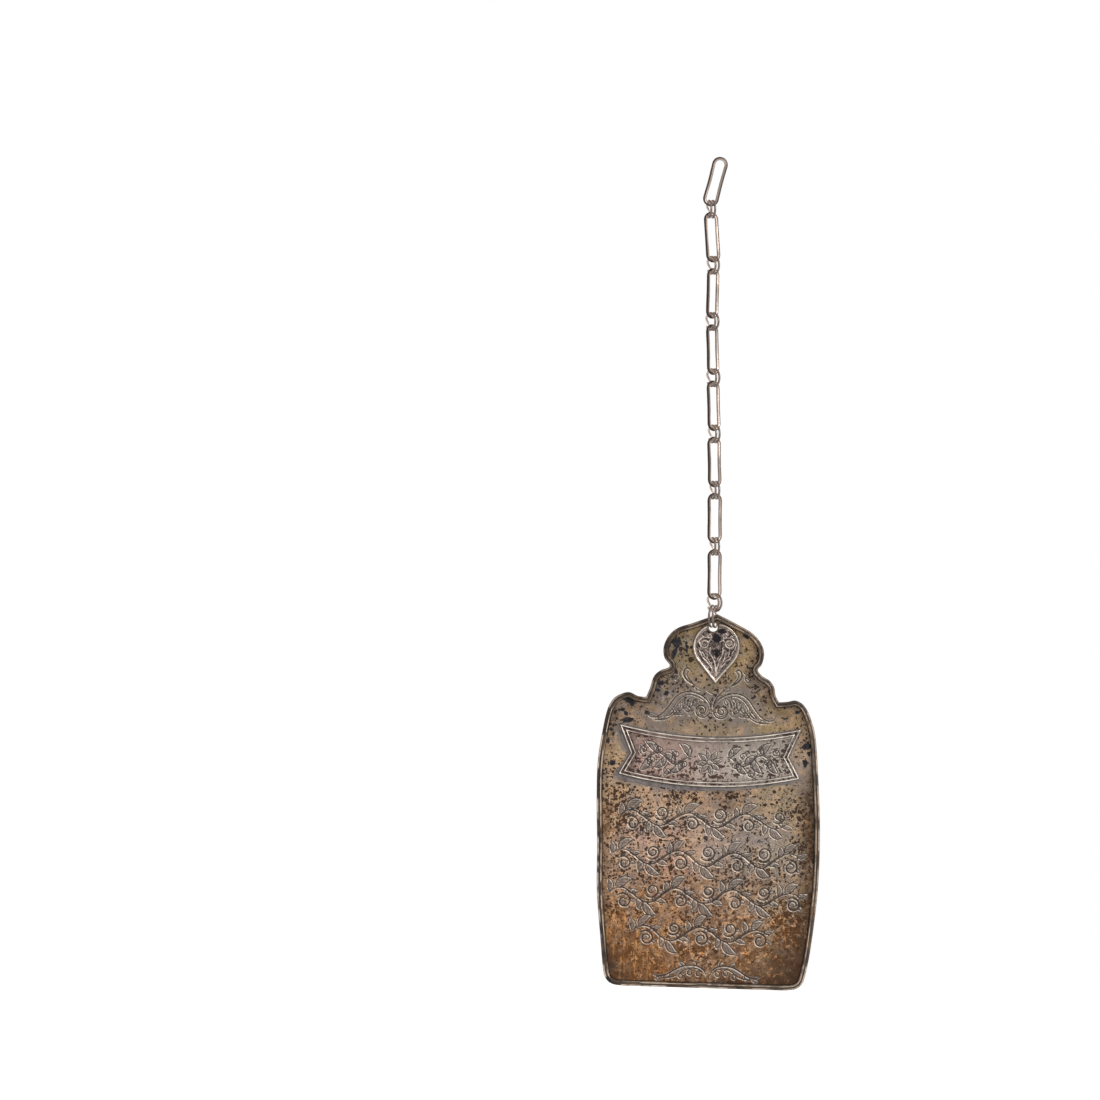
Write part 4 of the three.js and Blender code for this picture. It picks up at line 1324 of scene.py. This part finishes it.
def make_solder(outline):
    """The grey solder that ran out from under the banner, widest at its left and below, where its grey
    also stands in for the banner's shadow.
    """
    rail = refined(outline, SOLDER_CUTS)
    along = np.roll(rail, -1, 0) - np.roll(rail, 1, 0)
    along /= np.linalg.norm(along, axis=1)[:, None]
    out = np.stack([-along[:, 1], along[:, 0]], -1)
    # Widest towards the lower left, away from the light at the upper right
    facing = out @ np.array([-0.5, -0.87])
    run = fractal(rail[:, 0], rail[:, 1], 2.2, 77)
    left = 0.45 + 0.55 * step_up(-rail[:, 0], -14, 16)
    wide = 0.12 + left * step_up(facing, 0.0, 0.8) * (0.4 + 1.5 * run) + 0.3 * run
    wide = np.convolve(np.concatenate([wide[-3:], wide, wide[:3]]), np.ones(7) / 7, "valid")
    lumps = 0.8 + 0.4 * fractal(rail[:, 0], rail[:, 1], 1.1, 79)
    rows = []
    for share, height, _, _ in SOLDER_SECTION:
        moved = rail + out * (wide * share if share > 0 else np.full(len(rail), share))[:, None]
        level = PLATE_FRONT + height * (lumps if height > 0 else 1.0) * np.ones(len(rail))
        rows.append(np.stack([moved[:, 0], -level, moved[:, 1]], -1) * MM)
    mesh = build_mesh("banner_solder", *loft(np.stack(rows, 1)))
    marks = np.array([(r, h) for _, _, r, h in SOLDER_SECTION])
    ridge, hollow = np.tile(marks, (len(rail), 1)).T
    set_values(mesh, ridge=ridge, hollow=hollow)
    add_piece(mesh, solder)


def bitten(outline, centre, radius):
    """The outline with a round bite out of it, and which of its points the bite leaves."""
    gaps = np.hypot(*(outline - centre).T)
    order = np.roll(np.arange(len(outline)), -int(np.argmin(gaps)))
    left = order[gaps[order] > radius]
    low, high = (np.arctan2(*(outline[i] - centre)[::-1]) for i in (left[-1], left[0]))
    if high > low:
        high -= 2 * math.pi
    arcs = [centre + radius * np.stack([np.cos(a), np.sin(a)], -1)
            for a in (np.linspace(low, high, 30), np.linspace(low, high + 2 * math.pi, 30))]
    arc = min(arcs, key=lambda a: a[15][1])
    return np.concatenate([outline[left], arc[1:-1]]), left


def drop_material():
    """Grey silver, bright on the raised leaf work and dark round it."""
    g = new_graph("drop_silver")
    cloud = g.noise(700, 4, 0.6)
    g.colour = light(98, 87, 82)
    g.over((143, 128, 120), g.fit(cloud, 0.4, 0.65))
    g.over((56, 45, 44), g.fit(g.noise(1600, 3, 0.6), 0.48, 0.62, 0, 0.8))
    patchy_shine = g.fit(g.noise(1100, 3, 0.6), 0.38, 0.62, 0.2, 0.9)
    g.over((192, 178, 165), g.times(g.attribute("lift"), patchy_shine))
    g.over((44, 36, 35), g.times(g.attribute("cut"), 0.92))
    g.over((27, 25, 28), g.attribute("stain"))
    g.bump(g.noise(1900, 3, 0.6), 0.00007, 0.6)
    return g.metal(0.6, g.fit(cloud, 0.3, 0.7, 0.34, 0.54))


# The section of the drop's border, each (inset, height)
DROP_BORDER = [
    (0, -0.03), (0.82, -0.03), (0.82, 0.14), (0.77, 0.24), (0.71, 0.26), (0.65, 0.2),
    (0.6, 0.14), (0.54, 0.28), (0.44, 0.4), (0.3, 0.44), (0.14, 0.4), (0.02, 0.28),
]
# Blackened places of the drop, each (x, depth, half width, half height)
DROP_SPOTS = [
    (0.75, 6.4, 1.25, 1.35), (0.75, 10.4, 1.1, 1.1), (1.9, 4.5, 1.3, 0.8),
    (-1.4, 4.6, 0.6, 0.7), (-4.2, 8.6, 0.5, 0.9), (4.6, 10.6, 0.4, 0.6),
]


def draw_drop(field):
    """Curled leaves on stems that meet at the drop's point, mirrored to its left half."""
    lines = [
        (spiral((4.0, -8.0), 1.9, 0.5, 2.2, -1.3), 0.5),
        (spiral((4.0, -8.0), 1.05, 0.4, 2.9, -0.9), 0.4),
        (spiral((2.8, -5.9), 0.8, 0.3, 0.4, 1.1), 0.4),
    ]
    stems = [
        ([(2.3, 8.9), (2.5, 10.6), (1.7, 12.2), (1.0, 14.0), (0.8, 16.6)], 0.5),
        ([(3.2, 10.9), (2.9, 12.2), (2.1, 13.4), (1.4, 14.8)], 0.36),
        ([(5.4, 9.6), (4.6, 11.2), (3.4, 12.6), (2.2, 14.0), (1.4, 15.4)], 0.46),
        ([(4.4, 10.2), (3.9, 11.2), (3.0, 12.2)], 0.34),
        ([(5.0, 5.4), (4.2, 4.7), (3.2, 4.4), (2.5, 4.8)], 0.42),
        ([(5.7, 7.0), (5.9, 8.3), (5.5, 9.4)], 0.4),
        ([(1.6, 7.4), (2.4, 6.9), (2.9, 7.6)], 0.36),
        ([(1.2, 12.2), (1.5, 11.2), (1.3, 10.2)], 0.36),
        ([(5.2, 6.1), (4.6, 5.9), (4.2, 6.3)], 0.3),
        ([(3.9, 10.9), (4.6, 10.4), (5.1, 10.5)], 0.3),
    ]
    lines += [(curve(placed(points)), width) for points, width in stems]
    for offset, scale in ((0, 1), (1.5, -1)):
        for line, width in lines:
            shown = np.stack([offset + scale * line[:, 0], line[:, 1]], -1)
            sway = [fractal(shown[:, 0], shown[:, 1], 1.5, seed, 2) - 0.5 for seed in (27, 29)]
            field.groove(shown + 0.55 * np.stack(sway, -1), width, (0.4, 0.4))


def make_drop():
    """The inverted drop with its raised scrolls, dark ground and rounded border."""
    outline = drop_outline(60, 14)
    loop, left = bitten(outline, np.array([HOLE_ACROSS, -HOLE_DEPTH]), DROP_HOLE_RADIUS)
    field = Field((-6.2, -19), (7.6, -2), DROP_GRID)
    x, z = field.x, field.z
    draw_drop(field)
    lift = field.cut() ** 0.6
    front = PLATE_FRONT + DROP_THICKNESS
    ground = fractal(x, z, 0.42, 15, 2)
    heights = front - 0.02 + 0.24 * lift + 0.09 * (ground - 0.5)
    stain = np.zeros(x.shape)
    uneven = 0.6 * ragged(x, z, 0.9, 19) + 0.4 * ragged(x, z, 0.4, 23)
    for px, depth, wide, tall in DROP_SPOTS:
        reach = np.hypot((x - px) / wide, (z + depth) / tall) + uneven
        stain = np.maximum(stain, 1 - step_up(reach, 0.75, 1.2))
    heights -= 0.1 * stain * (1 - 0.5 * lift)
    values = {"lift": lift * (1 - 0.7 * stain), "stain": stain * (1 - 0.4 * lift),
              "cut": (1 - lift) * step_up(0.58 - ground, 0, 0.2)}
    mesh = relief_solid("drop_relief", field, [loop], front, PLATE_FRONT, heights, values)
    add_piece(mesh, drop_material(), ["drop_plaque", "drop_foliage"])
    wire_piece("drop_border_line", outline, DROP_BORDER, front, 1, ["drop_border"], 0.25, left, 0.5)


# The chain

def tube(path, radius, sides, closed):
    """Rows of a round wire along points; radius is one number for each point."""
    path = np.asarray(path)
    radius = np.broadcast_to(radius, len(path))
    if closed:
        along = np.roll(path, -1, 0) - np.roll(path, 1, 0)
    else:
        along = np.gradient(path, axis=0)
    along /= np.linalg.norm(along, axis=1)[:, None]
    out = np.cross(along, [0, 1, 0])
    out /= np.linalg.norm(out, axis=1)[:, None]
    up = np.cross(out, along)
    angles = np.linspace(0, 2 * math.pi, sides, endpoint=False)
    return path[:, None] + radius[:, None, None] * (
        np.cos(angles)[None, :, None] * out[:, None] + np.sin(angles)[None, :, None] * up[:, None])


def wire_highlight_and_shade(sides):
    """Painted highlight and shade round a wire: light on the shoulders of its outer side, dark towards
    its bend's inside.
    """
    outward = np.cos(np.linspace(0, 2 * math.pi, sides, endpoint=False))
    ridge = np.exp(-(((outward - 0.5) / 0.34) ** 2))
    hollow = np.clip(0.34 - outward, 0, 1)
    return ridge, hollow


def make_link(number, matrix):
    """A long link of drawn wire, a little uneven, with the lump of its solder seam."""
    random = np.random.default_rng(100 + number)
    path = []
    for end, side in ((0, -1), (1, 1)):
        for angle in math.pi * (end + np.linspace(0, 1, 25)):
            path.append((math.cos(angle), 0, LINK_ARC * math.sin(angle) - end * LINK_STRAIGHT))
        for t in np.linspace(0, 1, 16)[1:-1]:
            path.append((side, 0, -LINK_STRAIGHT * (t if end == 0 else 1 - t)))
    path = np.array(path) * [LINK_ARC, 1, 1]
    lean = ragged(path[:, 0] + 20 * number, path[:, 2], 4.0, 3 + number)
    waist = np.exp(-((path[:, 2] + LINK_STRAIGHT / 2) / 3.4) ** 2)
    path[:, 0] *= 1 - 0.08 * waist * random.uniform(0.1, 0.9)
    path[:, 0] += 0.08 * lean
    seam = random.integers(30, 36) if random.random() < 0.5 else random.integers(70, 76)
    lump = 1 + 0.06 * np.exp(-(((np.arange(len(path)) - seam) / 2.2) ** 2))
    radius = np.minimum(LINK_WIRE / 2 * (0.965 + 0.05 * lean) * lump, LINK_WIRE / 2)
    rows = tube(path * MM, radius * MM, LINK_SIDES, True)
    mesh = build_mesh(f"wire_link_{number}", *loft(rows))
    ridge, hollow = wire_highlight_and_shade(LINK_SIDES)
    # The painted highlight comes and goes in long patches along the wire
    sheen_patches = fractal(path[:, 0] + 9 * number, path[:, 2], 5.0, 40 + number, 2)
    ridge = (ridge * (0.3 + 0.75 * step_up(sheen_patches, 0.36, 0.62))[:, None]).ravel()
    set_values(mesh, ridge=ridge.clip(0, 1), hollow=np.tile(hollow, len(path)))
    node = f"chain_link_{number}"
    add_piece(mesh, chain_silver, [node], matrix, node)


def make_ring(name, node, radius, matrix):
    """A ring of two turns of wire side by side, its ends rounded off."""
    radius = radius * math.cos(math.pi / RING_STEPS)
    count = 2 * RING_STEPS - RING_CROSSING
    i = np.linspace(0, count, count * 4 + 1)
    share = step_up(i, (count - RING_CROSSING) / 2, (count + RING_CROSSING) / 2)
    angle = (RING_CROSSING / 2 + i) * 2 * math.pi / RING_STEPS
    across = RING_PITCH * (share - 0.5)
    path = np.stack([radius * np.cos(angle), across, radius * np.sin(angle)], -1)
    ends = np.minimum(np.arange(len(path)), np.arange(len(path))[::-1]) / 2.5
    taper = np.sqrt(np.clip(1 - (1 - np.clip(ends, 0, 1)) ** 2, 0.16, 1))
    rows = tube(path * MM, RING_WIRE / 2 * MM * taper * 0.96, RING_SIDES, False)
    mesh = build_mesh(name, *capped(*loft(rows, False), RING_SIDES))
    ridge, hollow = (np.append(np.tile(v, len(path)), [0, 0]) for v in wire_highlight_and_shade(RING_SIDES))
    set_values(mesh, ridge=(ridge + 0.22).clip(0, 1), hollow=0.6 * hollow)
    add_piece(mesh, chain_silver, [node], matrix, node)


def hung(at, turn, lean):
    """The frame of a piece that hangs at a point, turned about its length and leaning sideways."""
    return (
        Matrix.Translation(Vector(at) * MM)
        @ Matrix.Rotation(math.radians(lean), 4, "Y")
        @ Matrix.Rotation(math.radians(turn), 4, "Z")
    )


def leaning(lean):
    """The upward direction, leaning sideways."""
    return np.array([math.sin(math.radians(lean)), 0, math.cos(math.radians(lean))])


def make_chain():
    """Places links and rings in the hanging order of the solids."""
    bore = LINK_ARC - LINK_WIRE / 2
    seat = math.sqrt((bore - RING_WIRE / 2 - CLEARANCE) ** 2 - (RING_PITCH / 2) ** 2)
    ring = (RING_BORE + RING_WIRE) / 2
    plate_ring = (PLATE_RING_BORE + RING_WIRE) / 2
    below = np.array([0, 0, -1.0])
    top = -bore * leaning(LINK_LEANS[0])
    for i, (turn, lean) in enumerate(zip(LINK_TURNS, LINK_LEANS)):
        make_link(i + 1, hung(top, turn, lean))
        low = top - LINK_STRAIGHT * leaning(lean)
        bar = low + LINK_ARC * below
        centre = low + (seat + ring) * below
        matrix = hung(bar, RING_TURNS[i], 0) @ Matrix.Translation((0, 0, (centre - bar)[2] * MM))
        make_ring(f"wire_ring_{i + 1}", f"chain_ring_{i + 1}", ring, matrix)
        top = centre + (ring + seat) * below
    cross = math.radians(RING_TURNS[-1] - PLATE_RING_TURN)
    reach = (RING_PITCH + RING_WIRE / 2) / 2 / math.tan(cross / 2)
    sags = [radius - math.sqrt(radius**2 - reach**2) for radius in (ring, plate_ring)]
    gap = (RING_WIRE + CLEARANCE) / math.cos(math.asin(reach / ring)) + sum(sags)
    centre = centre + ring * below + (gap - plate_ring) * leaning(PLATE_RING_LEAN)
    make_ring("wire_plate_ring", "plate_ring", plate_ring,
              hung(centre, PLATE_RING_TURN, PLATE_RING_LEAN))


make_plate()
make_rim()
make_banner()
make_drop()
make_chain()


# The stage: a pale floor, a white surrounding and two soft lamps, in metres and watts

FLOOR_HALF = 0.55
FLOOR_LEVEL = -0.262
SKY_FACING = (0.72, -0.28, 0.62)
CAMERA_PLACE = (-0.0457, -1.5, -0.104)
VIEW_WIDTH = 0.2937
# In millimetres
CAMERA_SENSOR = 36
LAMP_TARGET = (0, 0, -0.14)
# Lamps, each its name, place, size and power
LAMPS = [("key", (0.42, -0.5, 0.2), 0.28, 4.5), ("fill", (-0.6, -0.7, 0.0), 0.5, 0.6)]


def make_floor():
    """A pale floor just below the object, brighter to the eye than its light makes it."""
    floor = bpy.data.meshes.new("floor")
    half, level = FLOOR_HALF, FLOOR_LEVEL
    floor.from_pydata(
        [(-half, -half, level), (half, -half, level), (half, half, level), (-half, half, level)],
        [], [(0, 1, 2, 3)])
    g = new_graph("pale_floor")
    matt = g.node("ShaderNodeBsdfDiffuse", {"Color": (0.86, 0.86, 0.86)})
    glow = g.node("ShaderNodeEmission", {"Strength": g.times(g.seen(), 0.35)})
    both = g.node("ShaderNodeAddShader", {0: matt.outputs[0], 1: glow.outputs[0]})
    g.node("ShaderNodeOutputMaterial", {"Surface": both.outputs[0]})
    floor.materials.append(g.holder)
    add_object("floor", floor)


def make_world():
    """White to the eye; for light, a sky that is brightest at the upper right."""
    world = bpy.data.worlds.new("studio")
    bpy.context.scene.world = world
    g = Graph(world)
    white = (1, 1, 1)
    inputs = {0: g.place["Generated"], 1: Vector(SKY_FACING).normalized()}
    facing = g.node("ShaderNodeVectorMath", inputs, "DOT_PRODUCT").outputs["Value"]
    inputs = {"Value": facing, "From Min": -0.8, "From Max": 0.9, "To Min": 0.18, "To Max": 1.15}
    level = g.node("ShaderNodeMapRange", inputs).outputs["Result"]
    shade = g.node("ShaderNodeBackground", {"Color": white, "Strength": level})
    plain = g.node("ShaderNodeBackground", {"Color": white, "Strength": 1.0})
    inputs = {"Fac": g.seen(), 1: shade.outputs[0], 2: plain.outputs[0]}
    both = g.node("ShaderNodeMixShader", inputs)
    g.node("ShaderNodeOutputWorld", {"Surface": both.outputs[0]})


def make_lamps():
    """Two square lamps turned to the object."""
    for name, place, size, energy in LAMPS:
        lamp = bpy.data.lights.new(name, "AREA")
        lamp.size = size
        lamp.energy = energy
        holder = add_object(name, lamp)
        holder.location = place
        aim = Vector(LAMP_TARGET) - Vector(place)
        holder.rotation_euler = aim.to_track_quat("-Z", "Y").to_euler()


def make_camera():
    """Looks level along +Y, and is wide enough for the photograph's frame."""
    camera = bpy.data.cameras.new("camera")
    camera.sensor_width = CAMERA_SENSOR
    camera.lens = CAMERA_SENSOR * -CAMERA_PLACE[1] / VIEW_WIDTH
    camera.clip_end = 20
    holder = add_object("camera", camera)
    holder.location = CAMERA_PLACE
    holder.rotation_euler = (math.pi / 2, 0, 0)
    bpy.context.scene.camera = holder
    bpy.context.scene.view_settings.view_transform = "Standard"


make_floor()
make_world()
make_lamps()
make_camera()
